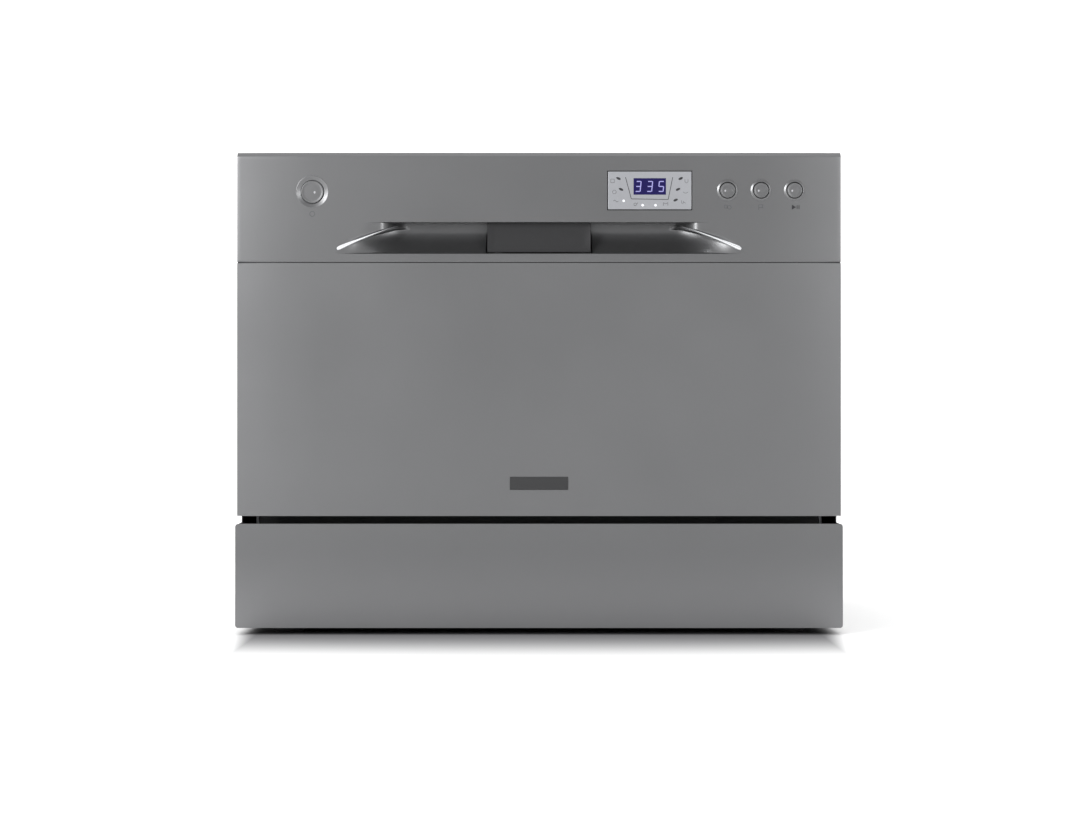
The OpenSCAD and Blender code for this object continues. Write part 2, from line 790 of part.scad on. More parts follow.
module softener() color(white_plastic) {
    x = softener_x;
    difference() {
        union() {
            block([x, softener_y, tray_z + tray_t], [x + softener_w, softener_y + softener_l, tub_z - 18]);
            rod_z(-salt_at, salt_y, tub_z - 19, floor_z, neck_r);
        }
        rod_z(-salt_at, salt_y, tub_z - 17, floor_z + cut, neck_r - 3);
        block([x + 3, softener_y + 3, tray_z + tray_t + 3],
              [x + softener_w - 3, softener_y + softener_l - 3, tub_z - 21]);
        rod_z(-salt_at, salt_y, tub_z - 22, tub_z - 16, neck_r - 6);
    }
}

module salt_cap() color(white_plastic) difference() {
    z = floor_z + touch_gap;
    union() {
        rod_z(-salt_at, salt_y, z, z + 7, salt_r);
        rod_z(-salt_at, salt_y, tub_z - 12, z + 1, neck_r - 3 - fit);
        translate([-salt_at, salt_y, z + 6]) block([-salt_r + 3, -3, 0], [salt_r - 3, 3, 5]);
    }
    rod_z(-salt_at, salt_y, tub_z - 13, z, neck_r - 6);
}

module inlet_valve() color(white_plastic) difference() {
    union() {
        block([valve_x - valve_w / 2, rear_y - 45, fitting_z - 16],
              [valve_x + valve_w / 2, rear_y - sheet_t - touch_gap, fitting_z + 16]);
        rod_y(valve_x, rear_y - 3, rear_y + fitting_out, fitting_z, inlet_r);
        rod_z(valve_x, supply_y, fitting_z + 15, fitting_z + 18, 6);
    }
    rod_y(valve_x, rear_y - 20, rear_y + fitting_out + cut, fitting_z, inlet_r - 3);
}

// A quarter bend of a hose, turned into place by its caller
module bend(radius, tube) {
    rotate_extrude(angle = 90) translate([radius, 0]) circle(tube, $fn = 32);
}

module hoses() color(black) {
    // Supply: up from the valve, along the rear and up to the air break
    bend_r = 16;
    left_x = -air_x - air_w / 2;
    rod_z(valve_x, supply_y, fitting_z + 18, supply_z - bend_r + elbow_in, hose_r);
    translate([valve_x - bend_r, supply_y, supply_z - bend_r]) rotate([90, 0, 0]) bend(bend_r, hose_r + elbow_t);
    rod_x(left_x + bend_r - elbow_in, valve_x - bend_r + elbow_in, supply_y, supply_z, hose_r);
    translate([left_x + bend_r, supply_y, supply_z + bend_r]) rotate([90, 180, 0]) bend(bend_r, hose_r + elbow_t);
    rod_z(left_x, supply_y, supply_z + bend_r - elbow_in, tub_z + 24, hose_r);
    // Drain: from the drain pump to the rear, ending in the spigot
    z = pump_z - 8;
    y = drain_pump_y + 28;
    difference() {
        union() {
            rod_x(sump_x + drain_head_r + 8, drain_x - drain_bend + elbow_in, y, z, drain_r);
            translate([drain_x - drain_bend, y + drain_bend, z]) rotate(-90) bend(drain_bend, drain_r + elbow_t);
            rod_y(drain_x, y + drain_bend - elbow_in, rear_y - 30, z, drain_r);
            along_x(drain_x - 14, drain_x + 14) polygon([[rear_y - 31, z - 11], [rear_y - 31, z + 11],
                [rear_y - sheet_t - touch_gap, fitting_z + drain_r + 4],
                [rear_y - sheet_t - touch_gap, fitting_z - drain_r - 4]]);
            rod_y(drain_x, rear_y - 3, rear_y + fitting_out, fitting_z, drain_r);
        }
        rod_y(drain_x, rear_y - 24, rear_y + fitting_out + cut, fitting_z, drain_r - 2);
    }
}

module air_break() color(white_plastic) {
    low_z = tub_z + 24;
    difference() {
        union() {
            block([-air_x - air_w, 20, low_z], [-air_x, supply_y + 12, tub_top_z - 40]);
            rod_x(-air_x - 1, -tub_in, vent_y, vent_z, vent_r);
        }
        block([-air_x - air_w + 2, 22, low_z + 2], [-air_x - 2, supply_y + 10, tub_top_z - 42]);
        rod_x(-air_x - 8, -tub_in + cut, vent_y, vent_z, vent_r - 2);
        rod_z(-air_x - air_w / 2, supply_y, low_z - cut, low_z + 4, 5);
    }
}

module cord_inlet() color(black) {
    z = fitting_z - 20;
    difference() {
        union() {
            block([-valve_x - 24, rear_y - 40, z - 20], [-valve_x + 24, rear_y - sheet_t - touch_gap, z + 20]);
            rod_y(-valve_x, rear_y - 4, rear_y + 6, z, 10);
            rod_y(-valve_x, rear_y + touch_gap, rear_y + 3, z, 14);
        }
        rod_y(-valve_x, rear_y - 30, rear_y + 7, z, 4.2);
    }
}

// Hinges

module hinge_brackets() color(steel) both_sides() difference() {
    x1 = bracket_at + bracket_t;
    union() {
        along_x(bracket_at, x1) {
            translate([pivot_y, pivot_z]) circle(finger_r);
            translate([pivot_y, pivot_z - finger_r])
                square([bracket_y - pivot_y + 30, finger_r + tub_z - pivot_z - 0.6]);
            translate([bracket_y, tray_z + tray_t])
                square([anchor_y - bracket_y + 10, tub_z - 0.6 - tray_z - tray_t]);
        }
        block([notch_x + 2, anchor_y, spring_z - 8], [bracket_at + 1, anchor_y + 3, spring_z + 8]);
        block([bracket_at - 14, bracket_y + 6, tray_z + tray_t],
              [x1 - 0.1, anchor_y, tray_z + tray_t + 3]);
        rod_x(arm_x - 2, x1, pivot_y, pivot_z, pin_r);
        rod_x(arm_x - 3, arm_x - 1, pivot_y, pivot_z, pin_r + 1.5);
    }
    along_x(bracket_at - cut, x1 + cut) translate([bracket_y + 24, tray_z + 40]) square([30, 24]);
}

module hinge_springs() color(steel) both_sides() {
    rod_y(spring_x, spring_y, spring_y + spring_l, spring_z, spring_r);
    rod_y(spring_x, pivot_y + 4, spring_y + 1, spring_z, hook_r);
    rod_y(spring_x, spring_y + spring_l - 1, anchor_y, spring_z, hook_r);
}

module hinge_arms() color(steel) both_sides() difference() {
    along_x(arm_x, arm_x + arm_plate_t) {
        translate([pivot_y, pivot_z]) circle(finger_r);
        translate([inner_y - arm_leg_w, pivot_z]) square([arm_leg_w, arm_leg_h]);
        translate([pivot_y - 9, spring_z - 4]) square([13, pivot_z - spring_z + 4]);
    }
    rod_x(arm_x - cut, arm_x + arm_plate_t + cut, pivot_y, pivot_z, pin_r + fit);
}

// Door

module hinge_notch() {
    both_sides() block([notch_x, pivot_y - 13, door_low_z - cut],
                       [notch_x + notch_w, door_in_y + cut, notch_top_z]);
}

module door_screw_holes(extra) {
    both_sides() {
        for (up = side_screw_z) rod_y(door_half - 7, inner_y - 10, door_in_y + cut, pivot_z + up, 1.8 + extra);
        for (z = [panel_z + 12, door_top_z - 14])
            rod_y(door_half - 10, inner_y - 10, door_in_y + cut, z, 1.8 + extra);
    }
}

module door_screws() color(steel) both_sides() {
    for (up = side_screw_z) screw(door_half - 7, pivot_z + up);
    for (z = [panel_z + 12, door_top_z - 14]) screw(door_half - 10, z);
}

module screw(x, z) {
    rod_y(x, door_in_y, door_in_y + 1.2, z, 3.4);
    rod_y(x, inner_y - 8, door_in_y + 0.5, z, 1.8);
}

module door_outer_panel() color(silver) difference() {
    block([-door_half, door_y, door_low_z], [door_half, door_in_y, sheet_top_z]);
    block([-door_half + sheet_t, door_y + sheet_t, door_low_z + sheet_t],
          [door_half - sheet_t, inner_y - sheet_t, sheet_top_z - sheet_t]);
    block([-door_half + sheet_t, inner_y, door_low_z - cut],
          [door_half - sheet_t, door_in_y + cut, sheet_top_z + cut]);
    block([-door_half + 14, inner_y - sheet_t - cut, door_low_z - cut],
          [door_half - 14, door_in_y + cut, sheet_top_z + cut]);
    block([-door_half + 14, door_y + 24, sheet_top_z - 2], [door_half - 14, inner_y, sheet_top_z + cut]);
    block([-door_half + sheet_t, pivot_y - 13, door_low_z - cut],
          [door_half - sheet_t, door_in_y + cut, notch_top_z]);
    door_screw_holes(0.1);
}

module grip_outline() {
    polygon([[-grip_half, grip_low_z], [-grip_half, grip_low_z + 4], [-grip_top_half, grip_z - 3],
             [-grip_top_half - 2, grip_z], [grip_top_half + 2, grip_z], [grip_top_half, grip_z - 3],
             [grip_half, grip_low_z + 4], [grip_half, grip_low_z]]);
}

// Plan of the recess: it rises from its deep middle to the panel's face at both ends
module grip_plan(wall) {
    ramp = 52;
    polygon([[-grip_half - wall, door_y + panel_t], [-grip_half + ramp - wall, door_y + grip_depth + wall],
             [grip_half - ramp + wall, door_y + grip_depth + wall], [grip_half + wall, door_y + panel_t]]);
}

module control_panel() color(silver) difference() {
    union() {
        difference() {
            along_x(-door_half, door_half) polygon([[door_y, panel_z], [door_in_y, panel_z],
                [door_in_y, door_top_z], [door_y + panel_bevel, door_top_z], [door_y, door_top_z - panel_bevel]]);
            block([-door_half + panel_t, door_y + panel_t, panel_z + panel_t],
                  [door_half - panel_t, door_in_y + cut, door_top_z - panel_t]);
            block([-door_half + 16, door_y + panel_t, panel_z - cut],
                  [door_half - 16, door_in_y + cut, panel_z + panel_t + cut]);
        }
        both_sides() for (z = [panel_z + 12, door_top_z - 14])
            rod_y(door_half - 10, door_y + 1, inner_y, z, 6);
        for (x = [-22, 22]) rod_y(x, door_y + 1, cam_y - 16, latch_z - 26, 4);
        for (x = [board_low_x + 4, small_buttons[0] + 9.3]) rod_y(x, door_y + 1, board_y, display_z + 22, 3);
        rod_y(-power_at - 26, door_y + 1, board_y, power_z, 3);
    }
    along_y(door_y - cut, door_y + panel_t + cut) grip_outline();
    block([-inner_half - touch_gap, inner_y, panel_z - cut],
          [inner_half + touch_gap, door_in_y + cut, door_top_z - panel_t]);
    for (x = small_buttons) rod_y(x, door_y - cut, door_y + panel_t + cut, button_z, button_rim_r);
    rod_y(-power_at, door_y - cut, door_y + panel_t + cut, power_z, power_rim_r);
    block([display_at - display_w / 2 + 3, door_y - cut, display_z - display_h / 2 + 3],
          [display_at + display_w / 2 - 3, door_y + panel_t + cut, display_z + display_h / 2 - 3]);
    door_screw_holes(0.1);
}

module door_inner_panel() color(steel) difference() {
    block([-inner_half, inner_y, inner_low_z], [inner_half, door_in_y, inner_top_z]);
    hinge_notch();
    block([disp_x - disp_w / 2 + 6, inner_y - cut, disp_z - disp_h / 2 + 6],
          [disp_x + disp_w / 2 - 6, door_in_y + cut, disp_z + disp_h / 2 - 6]);
    block([-11, inner_y - cut, latch_z - 4], [11, door_in_y + cut, door_top_z]);
    door_screw_holes(0.1);
}

module door_lower_seal() color(black)
    block([-wheel_x + wheel_way, door_in_y, tub_z], [wheel_x - wheel_way, tub_y - touch_gap, tub_z + 8]);

module badge_plate() color(black)
    block([-badge_w / 2, door_y - badge_t, badge_z - badge_h / 2], [badge_w / 2, door_y, badge_z + badge_h / 2]);

module handle_pocket() color(silver) difference() {
    top_z = paddle_axis_z + 5.5;
    low_z = grip_low_z - 2;
    translate([0, 0, low_z]) linear_extrude(top_z - low_z) grip_plan(2);
    intersection() {
        translate([0, 0, grip_low_z]) linear_extrude(grip_h) grip_plan(0);
        along_y(door_y, door_in_y) grip_outline();
    }
    block([-paddle_half - touch_gap, door_y, grip_low_z],
          [paddle_half + touch_gap, door_y + grip_depth, top_z - 2]);
    block([-6, door_y + 1, top_z - 3], [6, paddle_y + 11, top_z + cut]);
    rod_x(-paddle_half - 4, paddle_half + 4, paddle_y, paddle_axis_z, paddle_pin_r + fit);
}

module latch_paddle() color(grey) {
    block([-paddle_half, paddle_y - paddle_t / 2, grip_low_z + 1.5],
          [paddle_half, paddle_y + paddle_t / 2, paddle_axis_z + 2]);
    rod_x(-paddle_half - 3, paddle_half + 3, paddle_y, paddle_axis_z, paddle_pin_r);
    block([-4, paddle_y - 2, paddle_axis_z], [4, paddle_y + 2, cam_z + 8]);
}

// Blades sweep up from the recess's lower corners to its upper edge
module handle_trim() color(chrome) both_sides() along_y(front_y, door_y)
    polygon([[grip_half, grip_low_z + 2], [grip_half - 0.5, grip_low_z + 2 + blade_w],
             [grip_half - 20, grip_low_z + 15], [grip_top_half, grip_z - 2],
             [grip_top_half - 1, grip_z - 3.2], [grip_half - 21, grip_low_z + 10.5]]);

module door_latch() color(dark) {
    plate_y = cam_y - 16;
    difference() {
        block([-latch_half, plate_y, cam_z - 8], [latch_half, plate_y + 2, latch_z + 4]);
        block([-6, plate_y - cut, cam_z - 10], [6, plate_y + 3, cam_z + 14]);
    }
    both_sides() block([8.3, plate_y + 1, cam_z - 8], [10.3, inner_y - touch_gap, latch_z + 5]);
    rod_x(-9, 9, cam_y, cam_z, cam_pin_r);
}

module latch_cam() color(white_plastic) difference() {
    union() {
        rod_x(-3, 3, cam_y, cam_z, 6);
        along_x(-3, 3) polygon([[cam_y - 5, cam_z - 2], [cam_y - 10, cam_z + 6], [cam_y - 10, cam_z + 9],
            [cam_y - 2, cam_z + 9], [cam_y + 2, latch_z - 6], [cam_y + 7, latch_z - 0.6],
            [cam_y + 13, latch_z - 0.6], [cam_y + 12, latch_z - 6], [cam_y + 6, cam_z]]);
    }
    rod_x(-4, 4, cam_y, cam_z, cam_pin_r + fit);
}

module door_switch() color(black)
    block([14, inner_y - 16, latch_z - 26], [34, inner_y - touch_gap, latch_z - 8]);

// Buttons, display and board

module bezel(x, z, button, rim) {
    difference() {
        union() {
            rod_y(x, door_y, door_y + panel_t + 0.1, z, rim - 0.1);
            rod_y(x, door_y + panel_t, door_y + panel_t + 1.5, z, rim + 1.6);
        }
        rod_y(x, door_y - cut, door_y + panel_t + 2, z, button + button_gap);
        translate([x, door_y - 0.01, z]) rotate([-90, 0, 0])
            cylinder(r1 = rim - 0.8, r2 = button + button_gap, h = 1.6);
    }
}

module button_bezels() color(silver) {
    bezel(-power_at, power_z, power_r, power_rim_r);
    for (x = small_buttons) bezel(x, button_z, button_r, button_rim_r);
}

// The flange behind the surround keeps the button from falling out
module push_button(x, z, r) {
    flange_y = door_y + panel_t + 1.5 + touch_gap;
    difference() {
        rod_y(x, door_y + 0.4, flange_y + 1, z, r);
        rod_y(x, door_y - 0.2, door_y + 0.8, z, r - 1.8);
    }
    rod_y(x, door_y + 0.6, door_y + 2, z, r - 3);
    rod_y(x, flange_y, flange_y + 1.5, z, r + 1.2);
    rod_y(x, flange_y, stem_y, z, 3);
}

module power_button() color(silver) push_button(-power_at, power_z, power_r);
module function_button() color(silver) push_button(small_buttons[0], button_z, button_r);
module delay_button() color(silver) push_button(small_buttons[1], button_z, button_r);
module start_button() color(silver) push_button(small_buttons[2], button_z, button_r);

module tact_switch(x, z) {
    block([x - 3, stem_y + button_travel + 0.2, z - 3], [x + 3, board_y + 0.1, z + 3]);
}

module control_board() color([0.05, 0.3, 0.16]) {
    block([board_low_x, board_y, display_z - 20], [small_buttons[2] + 14, board_y + board_t, display_z + 26]);
    block([-power_at - 32, board_y, power_z - 14], [-power_at + 14, board_y + board_t, power_z + 14]);
    for (x = small_buttons) tact_switch(x, button_z);
    tact_switch(-power_at, power_z);
    block([display_at - 20, door_y + 4, window_z - 10], [display_at + 20, board_y + 0.1, window_z + 10]);
}

module display_frame() color(silver) difference() {
    block([display_at - display_w / 2, door_y - 0.6, display_z - display_h / 2],
          [display_at + display_w / 2, door_y, display_z + display_h / 2]);
    block([display_at - window_w / 2, door_y - cut, window_z - window_h / 2],
          [display_at + window_w / 2, door_y + cut, window_z + window_h / 2]);
}

module display_window() color([0.05, 0.06, 0.16]) {
    block([display_at - window_w / 2 + 0.1, door_y - 0.4, window_z - window_h / 2 + 0.1],
          [display_at + window_w / 2 - 0.1, door_y, window_z + window_h / 2 - 0.1]);
    block([display_at - window_w / 2 - 2, door_y, window_z - window_h / 2 - 2],
          [display_at + window_w / 2 + 2, door_y + 3.9, window_z + window_h / 2 + 2]);
}

// Places from the display plate's middle
indicator_places = [[-28, 11.5], [-26, 1.8], [-23.5, -8.8], [28, 11.5], [25.7, 1.8], [23.5, -8.2],
                    [-6.5, -13], [5, -13]];

module indicator_lights() color(white_plastic) for (place = indicator_places)
    rod_y(display_at + place[0], door_y - 0.9, door_y - 0.6, display_z + place[1], indicator_r);

// Dispenser

module dispenser() color(white_plastic) {
    low_x = disp_x - disp_w / 2;
    low_z = disp_z - disp_h / 2;
    difference() {
        union() {
            block([low_x, door_in_y, low_z], [low_x + disp_w, door_in_y + 1.5, low_z + disp_h]);
            block([low_x + 6.3, door_in_y - disp_t, low_z + 6.3],
                  [low_x + disp_w - 6.3, door_in_y + 0.1, low_z + disp_h - 6.3]);
            rod_y(rinse_x, door_in_y, door_in_y + 2, dose_z, cap_r + 2);
            both_sides_of(dose_x) block([dose_w / 2 + 4.2, door_in_y + 1, flap_top_z - 3],
                                        [dose_w / 2 + 7, flap_y + flap_pin_r + 2, flap_top_z + 3]);
        }
        block([dose_x - dose_w / 2, door_in_y - disp_t + 3, dose_z - dose_h / 2],
              [dose_x + dose_w / 2, door_in_y + 2, dose_z + dose_h / 2]);
        rod_y(rinse_x, door_in_y - 12, door_in_y + 3, dose_z, 9 + fit);
        rod_x(dose_x - dose_w, dose_x + dose_w, flap_y, flap_top_z, flap_pin_r + fit);
    }
}

module both_sides_of(x) {
    translate([x, 0, 0]) both_sides() children();
}

module dispenser_flap() color(white_plastic) {
    side = dose_w / 2 + 3.8;
    block([dose_x - side, flap_y - flap_t / 2 + 0.2, flap_top_z - dose_h - 5],
          [dose_x + side, flap_y + flap_t / 2 + 0.2, flap_top_z - 1]);
    rod_x(dose_x - side - 2.5, dose_x + side + 2.5, flap_y, flap_top_z, flap_pin_r);
}

module rinse_aid_cap() color([0.35, 0.55, 0.8]) {
    y = door_in_y + 2 + touch_gap;
    rod_y(rinse_x, y, y + 3, dose_z, cap_r);
    rod_y(rinse_x, door_in_y - 10, y + 1, dose_z, 9);
    block([rinse_x - cap_r + 2, y + 2, dose_z - 2], [rinse_x + cap_r - 2, y + 5, dose_z + 2]);
}

// Rack

// A straight square wire from one point to another along one axis
module bar(low, high) {
    block([low[0] - wire / 2, low[1] - wire / 2, low[2] - wire / 2],
          [high[0] + wire / 2, high[1] + wire / 2, high[2] + wire / 2]);
}

module rack() color(grey) {
    side = rack_half - wire / 2;
    y0 = rack_y + wire / 2;
    y1 = rack_y + rack_l - wire / 2;
    z0 = rack_z + wire / 2;
    z1 = rack_top_z - wire / 2;
    step_x = 2 * side / rack_gaps;
    step_y = (y1 - y0) / rack_cross_gaps;
    rails = [z0 + rack_h * 0.45, z1];
    on_mat = z0 + wire + weld;
    // The floor mat
    for (i = [0 : rack_gaps]) bar([-side + i * step_x, y0, z0], [-side + i * step_x, y1, z0]);
    for (i = [0 : rack_cross_gaps]) bar([-side, y0 + i * step_y, z0], [side, y0 + i * step_y, z0]);
    // Front and rear frames on the mat, and the side frames between them
    for (y = [y0, y1]) {
        for (z = rails) bar([-side, y, z], [side, y, z]);
        for (x = [-side, side]) bar([x, y, on_mat], [x, y, z1]);
        for (i = [3 : 3 : rack_gaps - 1]) bar([-side + i * step_x, y, on_mat], [-side + i * step_x, y, z1]);
    }
    for (x = [-side, side]) {
        for (z = rails) bar([x, y0 + wire + weld, z], [x, y1 - wire - weld, z]);
        for (i = [3 : 3 : rack_cross_gaps - 1]) bar([x, y0 + i * step_y, on_mat], [x, y0 + i * step_y, z1]);
    }
    // Two combs of tines beside the basket
    for (row = [rack_gaps / 2 - 4, rack_gaps / 2]) {
        tine_x = -side + floor(row) * step_x;
        pitch = (y1 - y0) / tines;
        bar([tine_x, y0 + pitch / 2, on_mat], [tine_x, y1 - pitch / 2, on_mat]);
        for (i = [0 : tines - 1])
            bar([tine_x, y0 + (i + 0.5) * pitch, on_mat], [tine_x, y0 + (i + 0.5) * pitch, z0 + tine_h]);
    }
    both_sides() for (y = [axle_y, axle_y + wheel_base]) wheel_carrier(y);
    for (y = [shelf_y + 20, shelf_y + shelf_l - 20]) difference() {
        union() {
            rod_y(-shelf_x, y - 4, y + 4, shelf_z, clip_r);
            block([-rack_in + weld, y - 4, shelf_z - 3], [-shelf_x, y + 4, rack_top_z]);
        }
        rod_y(-shelf_x, y - 5, y + 5, shelf_z, shelf_r + fit);
    }
}

// A plate at the rack's side, with a headed axle stub that points inwards
module wheel_carrier(y) {
    block([rack_half - 4, y - 11, axle_z - 7], [rack_half, y + 11, rack_z - weld]);
    rod_x(wheel_x - 0.8, rack_half - 3, y, axle_z, axle_r);
    rod_x(wheel_x - 2.4, wheel_x - 0.8, y, axle_z, axle_r + 2);
}

module wheels(y) {
    both_sides() difference() {
        rod_x(wheel_x, wheel_x + wheel_w, y, axle_z, wheel_r);
        rod_x(wheel_x - cut, wheel_x + wheel_w + cut, y, axle_z, axle_r + fit);
        for (face = [wheel_x - cut, wheel_x + wheel_w - 2]) difference() {
            rod_x(face, face + 2 + cut, y, axle_z, wheel_r - 3);
            rod_x(face - cut, face + 4 + cut, y, axle_z, axle_r + 3);
        }
    }
}

module rack_wheels_front() color(white_plastic) wheels(axle_y);
module rack_wheels_rear() color(white_plastic) wheels(axle_y + wheel_base);

// A wall of the basket, from corner to corner, with two rows of slots
module basket_wall(width) {
    slots = 2 * floor(width / 28);
    pitch = (width - 8) / slots;
    difference() {
        square([width, basket_h - basket_t - weld]);
        for (i = [0 : slots - 1], z = [10, basket_h / 2 + 1])
            translate([5 + i * pitch, z]) square([pitch - 2, basket_h / 2 - 14]);
    }
}

module cutlery_basket() color(grey) {
    t = basket_t;
    x1 = basket_x + basket_w;
    y1 = basket_y + basket_l;
    mid_x = basket_x + basket_w / 2;
    wall_z = basket_z + t + weld;
    divider_top_z = basket_z + basket_h - 8;
    pitch = (basket_l - t) / basket_cells;
    block([basket_x, basket_y, basket_z], [x1, y1, basket_z + t]);
    for (y = [basket_y, y1 - t])
        translate([basket_x, y + t, wall_z]) rotate([90, 0, 0]) linear_extrude(t) basket_wall(basket_w);
    for (x = [basket_x, x1 - t]) translate([x, basket_y + t + weld, wall_z]) rotate([90, 0, 90])
        linear_extrude(t) basket_wall(basket_l - 2 * t - 2 * weld);
    // One long divider and short ones to both sides of it
    block([mid_x - t / 2, basket_y + t + weld, wall_z], [mid_x + t / 2, y1 - t - weld, divider_top_z]);
    for (i = [1 : basket_cells - 1], ends = [[basket_x + t + weld, mid_x - t / 2 - weld],
                                             [mid_x + t / 2 + weld, x1 - t - weld]])
        block([ends[0], basket_y + i * pitch, wall_z], [ends[1], basket_y + i * pitch + t, divider_top_z]);
    // Carrying handle over the long divider
    along_x(mid_x - 2, mid_x + 2) difference() {
        translate([basket_y + basket_l / 4 - 3, divider_top_z + weld]) square([basket_l / 2 + 6, 26 - weld]);
        translate([basket_y + basket_l / 4 + 3, divider_top_z - cut]) square([basket_l / 2 - 6, 20 + cut]);
    }
}

module cup_shelf() color(grey) {
    rod_y(-shelf_x, shelf_y, shelf_y + shelf_l, shelf_z, shelf_r);
    far_x = -shelf_x + shelf_w;
    h = wire / 2;
    for (i = [0 : 5]) {
        y = shelf_y + 2 + i * (shelf_l - 4) / 5;
        block([-shelf_x, y - h, shelf_z - h], [far_x, y + h, shelf_z + h]);
    }
    for (x = [-shelf_x + shelf_w * 0.36, -shelf_x + shelf_w * 0.68, far_x])
        block([x - h, shelf_y + 2 - h, shelf_z - h], [x + h, shelf_y + shelf_l - 2 + h, shelf_z + h]);
}

base_tray();
cabinet_wrap();
rear_panel();
plinth();
front_crossmember();
tub();
tub_seal();
tub_insulation();
sump();
fine_filter();
spray_arm_post();
wash_pump();
drain_pump();
heater();
softener();
inlet_valve();
air_break();
hoses();
float_switch();
latch_strike();
hinge_brackets();
hinge_springs();
feet();
cord_inlet();
rear_screws();
door_outer_panel();
control_panel();
door_inner_panel();
handle_pocket();
handle_trim();
display_frame();
display_window();
indicator_lights();
button_bezels();
badge_plate();
control_board();
dispenser();
door_latch();
door_switch();
hinge_arms();
door_lower_seal();
door_screws();
power_button();
function_button();
delay_button();
start_button();
latch_paddle();
latch_cam();
dispenser_flap();
rinse_aid_cap();
spray_arm();
salt_cap();
coarse_filter();
float();
wash_impeller();
rack();
rack_wheels_front();
rack_wheels_rear();
cutlery_basket();
cup_shelf();
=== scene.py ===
import json
import math
import bpy
import bmesh
from mathutils import Matrix, Vector


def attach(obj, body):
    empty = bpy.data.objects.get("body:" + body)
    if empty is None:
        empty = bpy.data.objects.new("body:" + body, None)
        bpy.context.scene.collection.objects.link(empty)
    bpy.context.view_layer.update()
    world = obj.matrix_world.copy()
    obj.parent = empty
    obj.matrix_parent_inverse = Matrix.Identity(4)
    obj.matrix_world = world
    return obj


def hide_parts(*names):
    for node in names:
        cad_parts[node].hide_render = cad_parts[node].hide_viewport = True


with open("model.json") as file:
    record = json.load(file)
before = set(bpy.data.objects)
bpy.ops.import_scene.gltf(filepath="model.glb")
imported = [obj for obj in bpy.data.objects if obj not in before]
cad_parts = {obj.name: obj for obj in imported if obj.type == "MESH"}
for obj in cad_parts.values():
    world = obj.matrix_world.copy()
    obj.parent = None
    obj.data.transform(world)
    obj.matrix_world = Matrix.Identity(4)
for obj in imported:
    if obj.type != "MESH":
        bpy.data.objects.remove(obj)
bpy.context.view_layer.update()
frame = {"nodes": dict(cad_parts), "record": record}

mm = 0.001
scene = bpy.context.scene
slotOf = {part["node"]: part["material_slot"] for part in frame["record"]["subparts"]}
bodyOf = {node: body for body, nodes in frame["record"]["behaviour"]["bodies"].items() for node in nodes}

print("view")
view = {"height": 206 * mm, "distance": 2198 * mm, "lens": 81, "middle": 0.9 * mm, "frontY": -250 * mm}

cameraData = bpy.data.cameras.new("view")
cameraData.lens = view["lens"]
cameraData.sensor_width = 36
camera = bpy.data.objects.new("view", cameraData)
camera.location = (view["middle"], view["frontY"] - view["distance"], view["height"])
camera.rotation_euler = (math.radians(90), 0, 0)
scene.collection.objects.link(camera)
scene.camera = camera
scene.view_settings.view_transform = "Standard"


class Wire:
    # an output of a shader node, on which Python's operators add Math nodes
    def __init__(self, finish, socket):
        self.finish = finish
        self.socket = socket

    def __add__(self, other):
        return self.finish.maths("ADD", self, other)

    def __radd__(self, other):
        return self.finish.maths("ADD", other, self)

    def __sub__(self, other):
        return self.finish.maths("SUBTRACT", self, other)

    def __rsub__(self, other):
        return self.finish.maths("SUBTRACT", other, self)

    def __mul__(self, other):
        return self.finish.maths("MULTIPLY", self, other)

    def __rmul__(self, other):
        return self.finish.maths("MULTIPLY", other, self)


class Finish:
    # a material built round one Principled shader
    def __init__(self, name, values):
        self.material = bpy.data.materials.new(name)
        self.material.use_nodes = True
        self.tree = self.material.node_tree
        self.tree.nodes.clear()
        output = self.tree.nodes.new("ShaderNodeOutputMaterial")
        self.shader = self.tree.nodes.new("ShaderNodeBsdfPrincipled")
        self.tree.links.new(self.shader.outputs[0], output.inputs[0])
        for key, value in values.items():
            self.shader.inputs[key].default_value = value

    def maths(self, operation, first, second):
        return self.add("ShaderNodeMath", {"operation": operation}, {0: first, 1: second})

    def put(self, socket, value):
        if isinstance(value, Wire):
            self.tree.links.new(value.socket, socket)
        else:
            socket.default_value = value

    def add(self, kind, settings=None, sockets=None, output=0):
        node = self.tree.nodes.new(kind)
        for key, value in (settings or {}).items():
            if key == "stops":
                for stop, (place, colour) in zip(node.color_ramp.elements, value):
                    stop.position = place
                    stop.color = colour
            else:
                setattr(node, key, value)
        for key, value in (sockets or {}).items():
            self.put(node.inputs[key], value)
        return Wire(self, node.outputs[output])

    def drive(self, name, value):
        self.put(self.shader.inputs[name], value)

    def place(self, stretch=(1, 1, 1)):
        point = self.add("ShaderNodeTexCoord", output="Object")
        return self.add("ShaderNodeMapping", None, {"Vector": point, "Scale": stretch})

    def grain(self, scale, detail=2.0, stretch=(1, 1, 1), roughness=0.5):
        return self.add("ShaderNodeTexNoise", None,
                        {"Vector": self.place(stretch), "Scale": scale, "Detail": detail, "Roughness": roughness})

    def blend(self, factor, first, second):
        return self.add("ShaderNodeMix", {"data_type": "RGBA"}, {0: factor, 6: first, 7: second}, 2)

    def relief(self, height, strength, depth=0.001):
        self.drive("Normal", self.add("ShaderNodeBump", None,
                                      {"Strength": strength, "Distance": depth, "Height": height}))


def tint(colour, amount):
    return tuple(min(1.0, c * amount) for c in colour[:3]) + (1.0,)


print("finishes")


